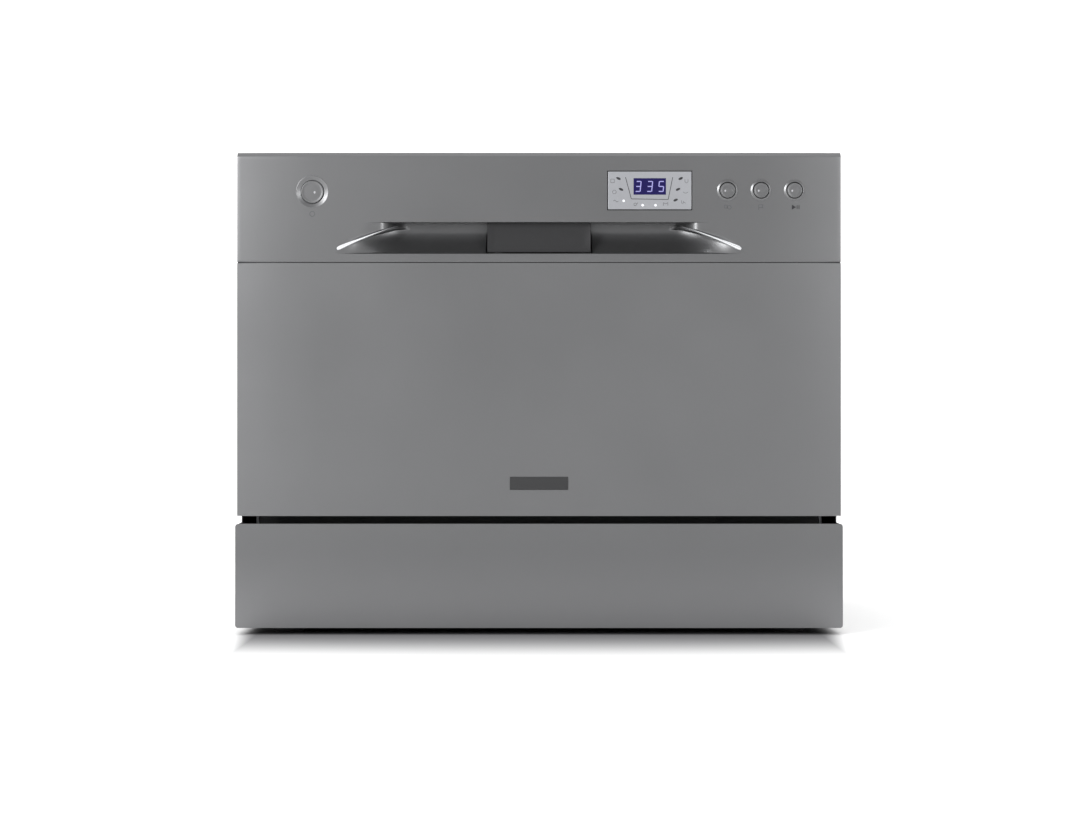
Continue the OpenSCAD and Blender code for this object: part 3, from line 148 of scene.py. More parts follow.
def metallicCoat(name, colour, roughness, metallic, footLight=None):
    # silver lacquer: fine flakes, a faint orange peel and slow patches of sheen
    coat = Finish(name, {"Metallic": metallic, "IOR": 1.5})
    flakes = coat.grain(2600, 1.0)
    patches = coat.grain(9, 2.0)
    peel = coat.grain(420, 2.0)
    lacquer = coat.blend(flakes * 0.6 + patches * 0.4, tint(colour, 0.9), tint(colour, 1.1))
    if footLight:
        # painted light: paler towards the foot, standing in for the light the floor throws on it
        point = coat.add("ShaderNodeTexCoord", output="Object")
        height = coat.add("ShaderNodeSeparateXYZ", None, {"Vector": point}, 2)
        low = coat.add("ShaderNodeMapRange", {"interpolation_type": "SMOOTHSTEP"},
                       {"Value": height, "From Min": footLight[0], "From Max": footLight[1], "To Min": 1.0, "To Max": 0.0})
        lacquer = coat.blend(low, lacquer, tint(colour, footLight[2]))
    coat.drive("Base Color", lacquer)
    coat.drive("Roughness", roughness - 0.03 + patches * 0.06)
    coat.relief(flakes * 0.4 + peel * 0.6, 0.05, 0.0004)
    return coat


def moulded(name, colour, roughness, texture=900, strength=0.12, coatWeight=0.0):
    # moulded plastic: fine spark texture, slow mottling in colour and gloss
    plastic = Finish(name, {"Coat Weight": coatWeight, "Coat Roughness": 0.12, "IOR": 1.48})
    spark = plastic.grain(texture, 3.0)
    mottle = plastic.grain(14, 3.0)
    plastic.drive("Base Color", plastic.blend(mottle, tint(colour, 0.9), tint(colour, 1.1)))
    plastic.drive("Roughness", roughness - 0.05 + mottle * 0.07 + spark * 0.05)
    plastic.relief(spark, strength, 0.0003)
    return plastic


def brushedSheet(name, colour, roughness, stretch, strength=0.12):
    # rolled or brushed steel: long fine streaks over slow stains
    sheet = Finish(name, {"Metallic": 1.0})
    streaks = sheet.grain(90, 3.0, stretch)
    fine = sheet.grain(300, 2.0, stretch)
    stains = sheet.grain(7, 3.0)
    sheet.drive("Base Color", sheet.blend(streaks * 0.7 + stains * 0.3, tint(colour, 0.86), tint(colour, 1.1)))
    sheet.drive("Roughness", roughness - 0.07 + streaks * 0.1 + stains * 0.06)
    sheet.relief(streaks * 0.5 + fine * 0.5, strength, 0.0002)
    return sheet


def spangled(name, colour):
    # zinc plating: pale and bluish crystals
    zinc = Finish(name, {"Metallic": 1.0})
    crystals = zinc.add("ShaderNodeTexVoronoi", None, {"Vector": zinc.place(), "Scale": 120.0})
    clouds = zinc.grain(16, 3.0)
    zinc.drive("Base Color", zinc.blend(crystals * 0.8 + clouds * 0.3, tint(colour, 0.84), tint(colour, 1.14)))
    zinc.drive("Roughness", 0.34 + crystals * 0.16)
    zinc.relief(crystals, 0.08, 0.0002)
    return zinc


def brightChrome(name, colour):
    chrome = Finish(name, {"Metallic": 1.0})
    haze = chrome.grain(60, 2.0)
    chrome.drive("Base Color", chrome.blend(haze, tint(colour, 0.97), tint(colour, 1.03)))
    chrome.drive("Roughness", 0.2 + haze * 0.06)
    return chrome


def softRubber(name, colour):
    rubber = Finish(name, {"IOR": 1.45})
    bloom = rubber.grain(40, 4.0)
    pores = rubber.grain(700, 2.0)
    rubber.drive("Base Color", rubber.blend(bloom, tint(colour, 0.8), tint(colour, 1.5)))
    rubber.drive("Roughness", 0.62 + bloom * 0.16)
    rubber.relief(pores, 0.2, 0.0003)
    return rubber


def feltPad(name, colour):
    felt = Finish(name, {"IOR": 1.3})
    fibres = felt.grain(500, 6.0, (1, 1, 1), 0.75)
    lumps = felt.grain(50, 3.0)
    felt.drive("Base Color", felt.blend(fibres, tint(colour, 0.5), tint(colour, 1.6)))
    felt.drive("Roughness", 0.9 + fibres * 0.08)
    felt.relief(fibres * 0.6 + lumps * 0.4, 0.5, 0.0015)
    return felt


def circuitBoard(name, colour):
    board = Finish(name, {"Coat Weight": 0.4})
    tracks = board.add("ShaderNodeTexBrick", None,
                       {"Vector": board.place(), "Scale": 130.0, "Mortar Size": 0.03,
                        "Color1": tint(colour, 1.0), "Color2": tint(colour, 1.25), "Mortar": tint(colour, 2.2)})
    board.drive("Base Color", tracks)
    board.drive("Roughness", 0.35 + board.grain(200) * 0.1)
    return board


def coatedWire(name, colour):
    coating = Finish(name, {"Coat Weight": 0.3, "Coat Roughness": 0.2})
    drops = coating.grain(160, 3.0)
    coating.drive("Base Color", coating.blend(drops, tint(colour, 0.92), tint(colour, 1.08)))
    coating.drive("Roughness", 0.32 + drops * 0.12)
    coating.relief(drops, 0.12, 0.0006)
    return coating


def glowing(name, colour, strength):
    lamp = Finish(name, {"Emission Strength": strength, "Roughness": 0.3, "Specular IOR Level": 0.12})
    spread = lamp.grain(400, 1.0)
    lamp.drive("Base Color", lamp.blend(spread, tint(colour, 0.12), tint(colour, 0.16)))
    lamp.drive("Emission Color", lamp.blend(spread, tint(colour, 0.85), tint(colour, 1.0)))
    return lamp


silverTone = (0.126, 0.127, 0.13)
finishes = {
    "silver_paint": metallicCoat("silverPaint", silverTone, 0.34, 0.85),
    "silver_plastic": metallicCoat("silverPlastic", tint(silverTone, 0.93), 0.34, 0.85),
    "stainless": brushedSheet("stainlessSheet", (0.46, 0.47, 0.485), 0.3, (0.05, 1, 1)),
    "zinc_steel": spangled("zincSteel", (0.36, 0.37, 0.385)),
    "chrome_trim": brightChrome("brightChrome", (0.7, 0.71, 0.73)),
    "black_plastic": moulded("blackPlastic", (0.018, 0.018, 0.02), 0.42),
    "dark_plastic": moulded("darkPlastic", (0.05, 0.05, 0.053), 0.5),
    "grey_plastic": moulded("greyPlastic", (0.26, 0.27, 0.29), 0.45),
    "white_plastic": moulded("whitePlastic", (0.56, 0.57, 0.58), 0.4, 600, 0.06, 0.1),
    "blue_plastic": moulded("bluePlastic", (0.08, 0.24, 0.52), 0.3, 600, 0.06, 0.3),
    "rubber": softRubber("softRubber", (0.025, 0.025, 0.027)),
    "felt": feltPad("feltPad", (0.14, 0.14, 0.15)),
    "window": glowing("tintedWindow", (0.012, 0.008, 0.085), 0.9),
    "board": circuitBoard("circuitBoard", (0.015, 0.12, 0.05)),
    "coated_wire": coatedWire("coatedWire", (0.36, 0.37, 0.385)),
}
badgeFinish = moulded("badgeLacquer", (0.004, 0.004, 0.005), 0.5)
# the plinth's lacquer, with painted light towards its foot
plinthFootLightFinish = metallicCoat("plinthPaintFootLight", tint(silverTone, 0.93), 0.36, 0.85, (-0.01, 0.085, 1.5))
# painted shade: the paddle's lacquer is made far darker than the panel's, standing in for the shade inside the recess
paddleShadeFinish = metallicCoat("paddleShadedPaint", (0.018, 0.018, 0.019), 0.6, 0.7)
plateFinish = metallicCoat("displayPlate", (0.25, 0.255, 0.27), 0.38, 0.7)
# dark ink for print and unlit lamps, also used on dark pieces that stand in for shade in gaps (painted shade)
inkAndShadeFinish = moulded("darkInkAndShade", (0.006, 0.006, 0.008), 0.7)
faintInkFinish = moulded("faintInk", (0.055, 0.055, 0.06), 0.7)
digitFinish = glowing("litDigits", (0.5, 0.48, 0.95), 0.7)
litFinish = glowing("litIndicator", (0.95, 0.96, 1.0), 1.0)
# painted highlight: a soft glow that stands in for a lamp's reflection on each button's cap
paintedGlintFinish = glowing("buttonLens", (0.5, 0.5, 0.52), 1.0)


def sharpen(mesh, angle):
    for face in mesh.polygons:
        face.use_smooth = True
    mesh.set_sharp_from_angle(angle=math.radians(angle))


def putInOrder(bm):
    # the order of a mesh's elements can differ from run to run, so they are sorted by place
    places = ((bm.verts, lambda vert: vert.co), (bm.edges, lambda edge: edge.verts[0].co + edge.verts[1].co),
              (bm.faces, lambda face: face.calc_center_median()))
    for elements, place in places:
        ranked = sorted(elements, key=lambda element: tuple(round(c, 7) for c in place(element)))
        ranks = {element: rank for rank, element in enumerate(ranked)}
        elements.sort(key=ranks.get)


def finishPiece(name, bm, body, finish, replaced=(), angle=32, recalc=True):
    if recalc:
        bmesh.ops.remove_doubles(bm, verts=bm.verts, dist=1e-6)
        bmesh.ops.recalc_face_normals(bm, faces=bm.faces)
    putInOrder(bm)
    mesh = bpy.data.meshes.new(name)
    bm.to_mesh(mesh)
    bm.free()
    return finishMesh(name, mesh, body, finish, replaced, angle)


def weighNormals(piece):
    # flat faces shade flat, and their roundings carry the whole turn
    weigh = piece.modifiers.new("weigh", "WEIGHTED_NORMAL")
    weigh.keep_sharp = True
    graph = bpy.context.evaluated_depsgraph_get()
    mesh = bpy.data.meshes.new_from_object(piece.evaluated_get(graph))
    piece.modifiers.remove(weigh)
    piece.data = mesh


def finishMesh(name, mesh, body, finish, replaced=(), angle=32):
    sharpen(mesh, angle)
    mesh.materials.clear()
    mesh.materials.append(finish.material)
    piece = bpy.data.objects.new(name, mesh)
    scene.collection.objects.link(piece)
    weighNormals(piece)
    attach(piece, body)
    if replaced:
        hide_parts(*replaced)
    return piece


def softenEdges(bm, edges, width, segments=2):
    bmesh.ops.bevel(bm, geom=edges, offset=width, offset_type="OFFSET", segments=segments, profile=0.5,
                    affect="EDGES", clamp_overlap=True, material=-1)


def addBox(bm, low, high, rounding=0.0, segments=2):
    low, high = Vector(low), Vector(high)
    size = high - low
    made = bmesh.ops.create_cube(bm, size=1.0, matrix=Matrix.Translation((low + high) / 2)
                                 @ Matrix.Diagonal((*size, 1)))
    verts = made["verts"]
    if rounding > 0:
        edges = list({edge for vert in verts for edge in vert.link_edges})
        softenEdges(bm, edges, min(rounding, min(size) * 0.48), segments)
    return verts


def lathe(bm, profile, centre, axis="Y", steps=48):
    # profile holds (radius, height along the axis); a full spin about the axis
    turnAxis = {"X": Vector((1, 0, 0)), "Y": Vector((0, 1, 0)), "Z": Vector((0, 0, 1))}[axis]
    side = {"X": Vector((0, 1, 0)), "Y": Vector((1, 0, 0)), "Z": Vector((1, 0, 0))}[axis]
    centre = Vector(centre)
    verts = [bm.verts.new(centre + side * radius + turnAxis * height) for radius, height in profile]
    edges = [bm.edges.new(pair) for pair in zip(verts, verts[1:])]
    bmesh.ops.spin(bm, geom=verts + edges, cent=centre, axis=turnAxis, angle=math.tau, steps=steps, use_merge=True)
    fresh = list({vert for face in bm.faces for vert in face.verts if vert.is_valid})
    bmesh.ops.remove_doubles(bm, verts=fresh, dist=1e-6)


def bendSides(bm):
    # gives the sheet of the door the same gentle fall at its sides as the panel
    for side in (-1, 1):
        for x in range(int(crown["start"]), int(panel["half"]) + 1, 8):
            bmesh.ops.bisect_plane(bm, geom=bm.verts[:] + bm.edges[:] + bm.faces[:], plane_co=(side * x * mm, 0, 0),
                                   plane_no=(1, 0, 0), dist=1e-7)
    for vert in bm.verts:
        if vert.co.y < -0.2475:
            vert.co.y += crownDepth(vert.co.x / mm) * mm


def roundedCopy(node, width=0.4, segments=2, finish=None, sharpFrom=30, angle=32):
    # the CAD node again, with its hard edges rounded as on the real moulding or sheet
    bm = bmesh.new()
    bm.from_mesh(frame["nodes"][node].data)
    bmesh.ops.remove_doubles(bm, verts=bm.verts, dist=1e-6)
    bmesh.ops.dissolve_limit(bm, angle_limit=math.radians(0.5), verts=bm.verts, edges=bm.edges)
    if node == "door_outer_panel":
        bendSides(bm)
    hard = [edge for edge in bm.edges if edge.is_manifold and edge.calc_face_angle(0) > math.radians(sharpFrom)]
    softenEdges(bm, hard, width * mm, segments)
    slot = slotOf[node]
    return finishPiece(node + "Rounded", bm, bodyOf[node], finish or finishes[slot], (node,), angle, False)


def wirePiece(name, runs, radius, body, slot, replaced=(), closed=(), extra=None):
    # round wires along runs of points, in metres
    curve = bpy.data.curves.new(name, "CURVE")
    curve.dimensions = "3D"
    curve.bevel_depth = radius
    curve.bevel_resolution = 2
    curve.use_fill_caps = True
    for index, run in enumerate(runs):
        spline = curve.splines.new("POLY")
        spline.points.add(len(run) - 1)
        for point, place in zip(spline.points, run):
            point.co = (*place, 1)
        spline.use_cyclic_u = index in closed
    holder = bpy.data.objects.new(name + "Curve", curve)
    scene.collection.objects.link(holder)
    bm = bmesh.new()
    bm.from_mesh(holder.evaluated_get(bpy.context.evaluated_depsgraph_get()).to_mesh())
    bpy.data.objects.remove(holder)
    if extra:
        extra(bm)
    return finishPiece(name, bm, body, finishes[slot], replaced, 50)


def rounded2d(points, radius, steps=5):
    # corners of a closed run of points, each turned into an arc
    out = []
    count = len(points)
    for i, point in enumerate(points):
        here = Vector(point)
        before = (Vector(points[i - 1]) - here).normalized()
        after = (Vector(points[(i + 1) % count]) - here).normalized()
        start, end = here + before * radius, here + after * radius
        for k in range(steps + 1):
            t = k / steps
            out.append((1 - t) ** 2 * start + 2 * t * (1 - t) * here + t * t * end)
    return out


def smoothStep(value):
    value = max(0.0, min(1.0, value))
    return value * value * (3 - 2 * value)


def scaled(bm):
    bmesh.ops.scale(bm, vec=(mm, mm, mm), verts=bm.verts)
    return bm


def cutHoles(piece, cutters):
    # takes closed shells, drawn in millimetres, out of the piece
    bmesh.ops.recalc_face_normals(scaled(cutters), faces=cutters.faces)
    putInOrder(cutters)
    cutterMesh = bpy.data.meshes.new("cutters")
    cutters.to_mesh(cutterMesh)
    cutters.free()
    cutter = bpy.data.objects.new("cutter", cutterMesh)
    scene.collection.objects.link(cutter)
    cut = piece.modifiers.new("holes", "BOOLEAN")
    cut.operation = "DIFFERENCE"
    cut.solver = "EXACT"
    cut.object = cutter
    bpy.context.view_layer.update()
    graph = bpy.context.evaluated_depsgraph_get()
    mesh = bpy.data.meshes.new_from_object(piece.evaluated_get(graph))
    piece.modifiers.remove(cut)
    piece.data = mesh
    bpy.data.objects.remove(cutter)
    sharpen(mesh, 32)
    weighNormals(piece)


print("control panel")
panel = {"front": -249.0, "half": 273.5, "low": 337.6, "top": 437.0, "back": -204.0, "wall": 2.4, "bevel": 3.5,
         "rounding": 0.5}
grip = {"low": 345.4, "top": 373.6, "crest": 160.0, "end": 185.0, "inner": 122.0, "depth": 24.5,
        "lowShare": 0.34, "bladeOut": (182.8, 350.5), "bladeIn": (130.6, 369.2), "above": 1.7, "opening": 47.4}


def bladeLine(across):
    # height of the line that the blades follow, at a distance from the middle
    (outX, outZ), (inX, inZ) = grip["bladeOut"], grip["bladeIn"]
    t = max(0.0, min(1.0, (outX - across) / (outX - inX)))
    return outZ + (inZ - outZ) * (t + 0.18 * t * (1 - t))


crown = {"start": 200.0, "depth": 1.9}


def crownDepth(across):
    # the door's face falls away gently towards its sides
    reach = max(0.0, (abs(across) - crown["start"]) / (panel["half"] - crown["start"]))
    return crown["depth"] * reach ** 2


def scoopDepth(across, height, over):
    # depth of the recess behind the panel's face
    if across < grip["opening"]:
        return grip["depth"]
    if over:
        shallow = grip["above"] * smoothStep((grip["crest"] - across) / (grip["crest"] - grip["bladeIn"][0]))
        share = smoothStep((grip["bladeIn"][0] + 13 - across) / 24)
        return shallow * (1 - share) + scoopDepth(across, height, False) * share
    reach = smoothStep((grip["end"] - across) / (grip["end"] - grip["inner"]))
    up = (height - grip["low"]) / (grip["top"] - grip["low"])
    rise = math.sin(min(1.0, up / 0.78) * math.pi / 2)
    return grip["depth"] * reach * (grip["lowShare"] + (1 - grip["lowShare"]) * rise)


def panelColumns():
    edge = grip["opening"]
    half = [0, 14, 28, edge - 1, edge - 0.05, edge + 0.05, edge + 1.5] + [52 + 6 * i for i in range(12)]
    half += [120 + 3 * i for i in range(24)] + [198, 206, 214, 222, 230, 238, 246, 254, 260, 266, 270, panel["half"]]
    half = sorted(set(half))
    return [-x for x in reversed(half) if x > 0] + half


def panelRows():
    # each row gives its height and depth for a distance from the middle
    low, top = grip["low"], grip["top"]
    rows = [lambda a, z=z: (z, 0.0) for z in (panel["low"], 339.5, 342.0, low - 0.7)]
    rows.append(lambda a: (low - 0.3, 0.08 if scoopDepth(a, low, False) > 0.5 else 0.0))
    rows.append(lambda a: (low, min(0.4, scoopDepth(a, low, False))))
    for k in range(15):
        rows.append(lambda a, t=k / 14: (low + 0.05 + (bladeLine(a) - low - 0.1) * t,
                                         scoopDepth(a, low + (bladeLine(a) - low) * t, False)))
    for k in range(5):
        rows.append(lambda a, t=k / 4: (bladeLine(a) + 0.05 + (top - bladeLine(a) - 0.1) * t,
                                        scoopDepth(a, bladeLine(a) + (top - bladeLine(a)) * t, True)))
    rows.append(lambda a: (top, min(0.4, scoopDepth(a, top, True))))
    rows.append(lambda a: (top + 0.3, 0.08 if scoopDepth(a, top, True) > 0.5 else 0.0))
    rows += [lambda a, z=z: (z, 0.0) for z in (top + 0.7, 378, 386, 396, 408, 420, 430,
                                               panel["top"] - panel["bevel"])]
    rows.append(lambda a: (panel["top"], panel["bevel"]))
    return rows


def controlPanelShell():
    columns, rows = panelColumns(), panelRows()
    acrossCount, upCount = len(columns) + 2, len(rows) + 2
    bm = bmesh.new()
    made = bmesh.ops.create_grid(bm, x_segments=acrossCount - 1, y_segments=upCount - 1, size=0.5)
    for vert in made["verts"]:
        i = round((vert.co.x + 0.5) * (acrossCount - 1))
        j = round((vert.co.y + 0.5) * (upCount - 1))
        x = columns[max(0, min(len(columns) - 1, i - 1))]
        z, depth = rows[max(0, min(len(rows) - 1, j - 1))](abs(x))
        y = panel["front"] + depth + crownDepth(x)
        if i in (0, acrossCount - 1) or j in (0, upCount - 1):
            y = panel["back"]
        vert.co = Vector((x, y, z)) * mm
    bmesh.ops.remove_doubles(bm, verts=bm.verts, dist=1e-6)
    # the recess keeps its own soft edges, so only the shell's outer ones are rounded
    outer = [edge for edge in bm.edges if edge.is_manifold and edge.calc_face_angle(0) > math.radians(35)
             and all(abs(v.co.x) > 0.2 or not 0.344 < v.co.z < 0.375 for v in edge.verts)]
    softenEdges(bm, outer, panel["rounding"] * mm)
    putInOrder(bm)
    bmesh.ops.recalc_face_normals(bm, faces=bm.faces)
    middle = min(bm.faces, key=lambda face: (face.calc_center_median() - Vector((0, -0.249, 0.42))).length)
    if middle.normal.y > 0:
        bmesh.ops.reverse_faces(bm, faces=bm.faces)
    bmesh.ops.solidify(bm, geom=bm.faces[:], thickness=panel["wall"] * mm)
    return bm


buttons = {
    "power_button": {"x": -205.2, "z": 401.2, "radius": 10.2, "rim": 14.8, "glintX": 2.1, "ringX": 0},
    "function_button": {"x": 170.7, "z": 402.6, "radius": 6.9, "rim": 9.7, "glintX": -2.1, "ringX": 1.7},
    "delay_button": {"x": 201.0, "z": 402.6, "radius": 6.9, "rim": 9.7, "glintX": -2.1, "ringX": 1.7},
    "start_button": {"x": 231.3, "z": 402.6, "radius": 6.9, "rim": 9.7, "glintX": -2.1, "ringX": 1.7},
}
display = {"x": 100.2, "z": 402.4, "width": 75.5, "height": 34.3, "gap": 0.75, "front": -249.5,
           "windowWidth": 29.4, "windowHeight": 15.0, "windowUp": 3.6}

shell = finishPiece("controlPanelShell", controlPanelShell(), "door", finishes["silver_plastic"],
                    ("control_panel", "handle_pocket"), 32, False)
cutters = bmesh.new()
for button in buttons.values():
    lathe(cutters, [(0, -2), (button["rim"], -2), (button["rim"], 8), (0, 8)],
          (button["x"], panel["front"], button["z"]), "Y", 64)
halfX, halfZ = display["width"] / 2 + display["gap"], display["height"] / 2 + display["gap"]
addBox(cutters, (display["x"] - halfX, panel["front"] - 2, display["z"] - halfZ),
       (display["x"] + halfX, panel["front"] + 8, display["z"] + halfZ))
cutHoles(shell, cutters)

print("latch paddle")
paddle = {"half": 46.9, "low": 346.9, "top": 377.0, "front": -242.5, "back": -239.6, "hollow": 1.3,
          "axisY": -241.0, "axisZ": 376.6, "pinRadius": 2.0, "pinHalf": 49.8, "armHalf": 4, "armTop": 400}


def latchPaddle():
    bm = bmesh.new()
    made = bmesh.ops.create_grid(bm, x_segments=24, y_segments=16, size=0.5)
    for vert in made["verts"]:
        u, v = vert.co.x, vert.co.y + 0.5
        dish = paddle["hollow"] * math.sin(math.pi * v) * smoothStep((0.5 - abs(u)) / 0.03)
        vert.co = (2 * u * paddle["half"], paddle["front"] + dish, paddle["low"] + v * (paddle["top"] - paddle["low"]))
    edges = [edge for edge in bm.edges if edge.is_boundary]
    sides = bmesh.ops.extrude_edge_only(bm, edges=edges)["geom"]
    rim = [item for item in sides if isinstance(item, bmesh.types.BMVert)]
    for vert in rim:
        vert.co.y = paddle["back"]
    putInOrder(bm)
    bmesh.ops.contextual_create(bm, geom=[edge for edge in bm.edges if edge.is_boundary])
    bmesh.ops.recalc_face_normals(bm, faces=bm.faces)
    corners = [edge for edge in bm.edges if edge.calc_face_angle(0) > math.radians(50)]
    softenEdges(bm, corners, 0.5)
    pin = paddle["pinHalf"]
    lathe(bm, [(0, -pin), (paddle["pinRadius"], -pin), (paddle["pinRadius"], pin), (0, pin)],
          (0, paddle["axisY"], paddle["axisZ"]), "X", 24)
    addBox(bm, (-paddle["armHalf"], paddle["axisY"] - 2, paddle["axisZ"]),
           (paddle["armHalf"], paddle["axisY"] + 2, paddle["armTop"]), 0.6)
    return scaled(bm)


finishPiece("latchPaddleDished", latchPaddle(), "latch_paddle", paddleShadeFinish,
            ("latch_paddle",))

print("blades")
blade = {"front": -249.95, "back": -248.6, "width": 3.6, "tip": 0.45, "stations": 40}


def trimBlades():
    bm = bmesh.new()
    for side in (-1, 1):
        made = bmesh.ops.create_grid(bm, x_segments=blade["stations"], y_segments=6, size=0.5)
        for vert in made["verts"]:
            t, w = vert.co.x + 0.5, vert.co.y
            across = grip["bladeOut"][0] + (grip["bladeIn"][0] - 3 - grip["bladeOut"][0]) * t
            wide = blade["tip"] + (blade["width"] - blade["tip"]) * (1 - t) ** 1.2
            wide *= min(1.0, 0.72 + t * 9)
            bulge = (blade["front"] - panel["front"]) * (1 - (2 * w) ** 2)
            vert.co = (side * (across + 0.33 * w * wide), panel["front"] - 0.05 + bulge * 0.95,
                       bladeLine(across) + 0.4 - 1.4 * (1 - t) + w * wide)
        faces = list({face for vert in made["verts"] for face in vert.link_faces})
        made = bmesh.ops.extrude_face_region(bm, geom=faces)["geom"]
        for item in made:
            if isinstance(item, bmesh.types.BMVert):
                item.co.y = blade["back"]
    return scaled(bm)


finishPiece("handleBlades", trimBlades(), "door", finishes["chrome_trim"], ("handle_trim",), 40)

print("buttons")


def dishedSurrounds():
    bm = bmesh.new()
    for button in buttons.values():
        rim, hole = button["rim"], button["radius"] + 0.35
        profile = [(rim - 0.05, 2.6), (rim - 0.05, 0.1)]
        if button["ringX"]:
            # a raised bead with a broad outer flank
            profile += [(rim - 0.15, 0.03), (rim - 1.55, -0.6), (rim - 1.8, -0.66), (rim - 2.05, -0.58), (hole, 0.1)]
        else:
            # a shallow cone that leads down to the cap
            profile += [(rim - 0.3, -0.02), (rim - 0.7, 0.03), (hole + 0.6, 1.15), (hole + 0.1, 1.35)]
        profile += [(hole, 2.5), (hole, 4.0), (rim + 1.4, 4.0), (rim + 1.4, 2.6), (rim - 0.05, 2.6)]
        lathe(bm, profile, (button["x"], panel["front"], button["z"]), "Y", 64)
    return scaled(bm)


finishPiece("buttonSurrounds", dishedSurrounds(), "door", finishes["silver_plastic"],
            ("button_bezels",), 40)

for node, button in buttons.items():
    radius = button["radius"]
    centre = (button["x"], panel["front"], button["z"])
    bm = bmesh.new()
    profile = [(0, 0.5), (radius - 3.2, 0.48), (radius - 2.3, 0.56), (radius - 1.4, 0.42), (radius - 0.6, 0.3),
               (radius - 0.2, 0.4), (radius, 0.7), (radius, 4.35), (radius + 1.2, 4.35), (radius + 1.2, 5.8),
               (3, 5.8), (3, 19.5), (0, 19.5)]
    lathe(bm, profile, centre, "Y", 48)
    if button["ringX"]:
        ring = [(2.5 + 0.28 * math.cos(a), 0.6 - 0.2 * math.sin(a)) for a in [k * math.tau / 8 for k in range(9)]]
        lathe(bm, ring, (button["x"] + button["ringX"], panel["front"], button["z"]), "Y", 32)
    finishPiece(node + "Cap", scaled(bm), bodyOf[node], finishes["silver_plastic"], (node,), 40)
    # painted highlight: a small glowing dome off the cap's middle, where a lamp's reflection falls
    bm = bmesh.new()
    lens = 0.95 if node == "power_button" else 0.8
    lathe(bm, [(0, 0.3), (lens * 0.5, 0.33), (lens * 0.85, 0.42), (lens, 0.6), (lens, 0.8), (0, 0.8)],
          (button["x"] + button["glintX"], panel["front"], button["z"] - 0.3), "Y", 20)
    bmesh.ops.scale(bm, vec=(1, 1, 1.35), space=Matrix.Translation((0, 0, -button["z"])), verts=bm.verts)
    finishPiece(node + "Lens", scaled(bm), bodyOf[node], paintedGlintFinish)

print("display")


def stroke(bm, start, end, width, y, thick=0.08):
    # a flat line from one point to another in the panel's plane
    (x0, z0), (x1, z1) = start, end
    length = math.hypot(x1 - x0, z1 - z0)
    turn = Matrix.Rotation(-math.atan2(z1 - z0, x1 - x0), 4, "Y")
    place = Matrix.Translation(((x0 + x1) / 2, y, (z0 + z1) / 2)) @ turn @ Matrix.Diagonal((length, thick, width, 1))
    bmesh.ops.create_cube(bm, size=1.0, matrix=place)


def disc(bm, x, z, radiusX, radiusZ, y, tilt=0.0, thick=0.2, steps=20):
    place = (Matrix.Translation((x, y, z)) @ Matrix.Rotation(math.radians(tilt), 4, "Y")
             @ Matrix.Diagonal((radiusX, 1, radiusZ, 1)) @ Matrix.Rotation(math.radians(90), 4, "X"))
    bmesh.ops.create_cone(bm, cap_ends=True, segments=steps, radius1=1, radius2=0.85, depth=thick, matrix=place)


plateLow = (display["x"] - display["width"] / 2, display["front"], display["z"] - display["height"] / 2)
plateHigh = (display["x"] + display["width"] / 2, display["front"] + 2.6, display["z"] + display["height"] / 2)
bm = bmesh.new()
addBox(bm, plateLow, plateHigh, 0.35, 3)
finishPiece("displayPlate", scaled(bm), "door", plateFinish, ("display_frame",))
# painted shade: a dark seat behind the plate shows as a dark line in the gap around it, standing in for the gap's
# shade
bm = bmesh.new()
addBox(bm, (plateLow[0] - 2, -246.4, plateLow[2] - 2), (plateHigh[0] + 2, -245.2, plateHigh[2] + 2), 0.3)
finishPiece("displayShadeSeat", scaled(bm), "door", inkAndShadeFinish)

windowZ = display["z"] + display["windowUp"]
bm = bmesh.new()
addBox(bm, (display["x"] - display["windowWidth"] / 2, display["front"] - 0.12, windowZ - display["windowHeight"] / 2),
       (display["x"] + display["windowWidth"] / 2, display["front"] + 0.6, windowZ + display["windowHeight"] / 2),
       0.2, 3)
finishPiece("displayGlass", scaled(bm), "door", finishes["window"], ("display_window",))

digits = {"text": "335", "pitch": 10.4, "width": 5.0, "height": 9.8, "bar": 0.85, "slant": 0.1}
segments = {"3": "abcdg", "5": "acdfg"}


def litDigits():
    bm = bmesh.new()
    w, h = digits["width"] / 2, digits["height"] / 2
    bars = {"a": ((-w, h), (w, h)), "b": ((w, h), (w, 0)), "c": ((w, 0), (w, -h)), "d": ((-w, -h), (w, -h)),
            "e": ((-w, 0), (-w, -h)), "f": ((-w, h), (-w, 0)), "g": ((-w, 0), (w, 0))}
    for index, figure in enumerate(digits["text"]):
        middle = display["x"] + (index - 1) * digits["pitch"]
        for key in segments[figure]:
            (x0, z0), (x1, z1) = bars[key]
            start = (middle + x0 * 0.86 + z0 * 0.92 * digits["slant"], windowZ + z0 * 0.92)
            end = (middle + x1 * 0.86 + z1 * 0.92 * digits["slant"], windowZ + z1 * 0.92)
            if key in "adg":
                start, end = (start[0] + 0.3, start[1]), (end[0] - 0.3, end[1])
            stroke(bm, start, end, digits["bar"], display["front"] - 0.14, 0.06)
    return scaled(bm)


finishPiece("displayDigits", litDigits(), "door", digitFinish)

lamps = {"dark": [(-28.3, 10.8, 24), (-26.0, 1.0, 24), (28.0, 10.8, -24), (25.6, 1.0, -24), (23.4, -8.7, -24)],
         "lit": [(-23.6, -9.4), (-6.4, -13.4), (5.2, -13.4)]}
bm = bmesh.new()
for x, z, tilt in lamps["dark"]:
    disc(bm, display["x"] + x, display["z"] + z, 2.2, 1.1, display["front"] - 0.08, tilt)
finishPiece("darkIndicators", scaled(bm), "door", inkAndShadeFinish)
bm = bmesh.new()
for x, z in lamps["lit"]:
    disc(bm, display["x"] + x, display["z"] + z, 1.25, 1.15, display["front"] - 0.08)
finishPiece("litIndicators", scaled(bm), "door", litFinish, ("indicator_lights",))

print("marks")


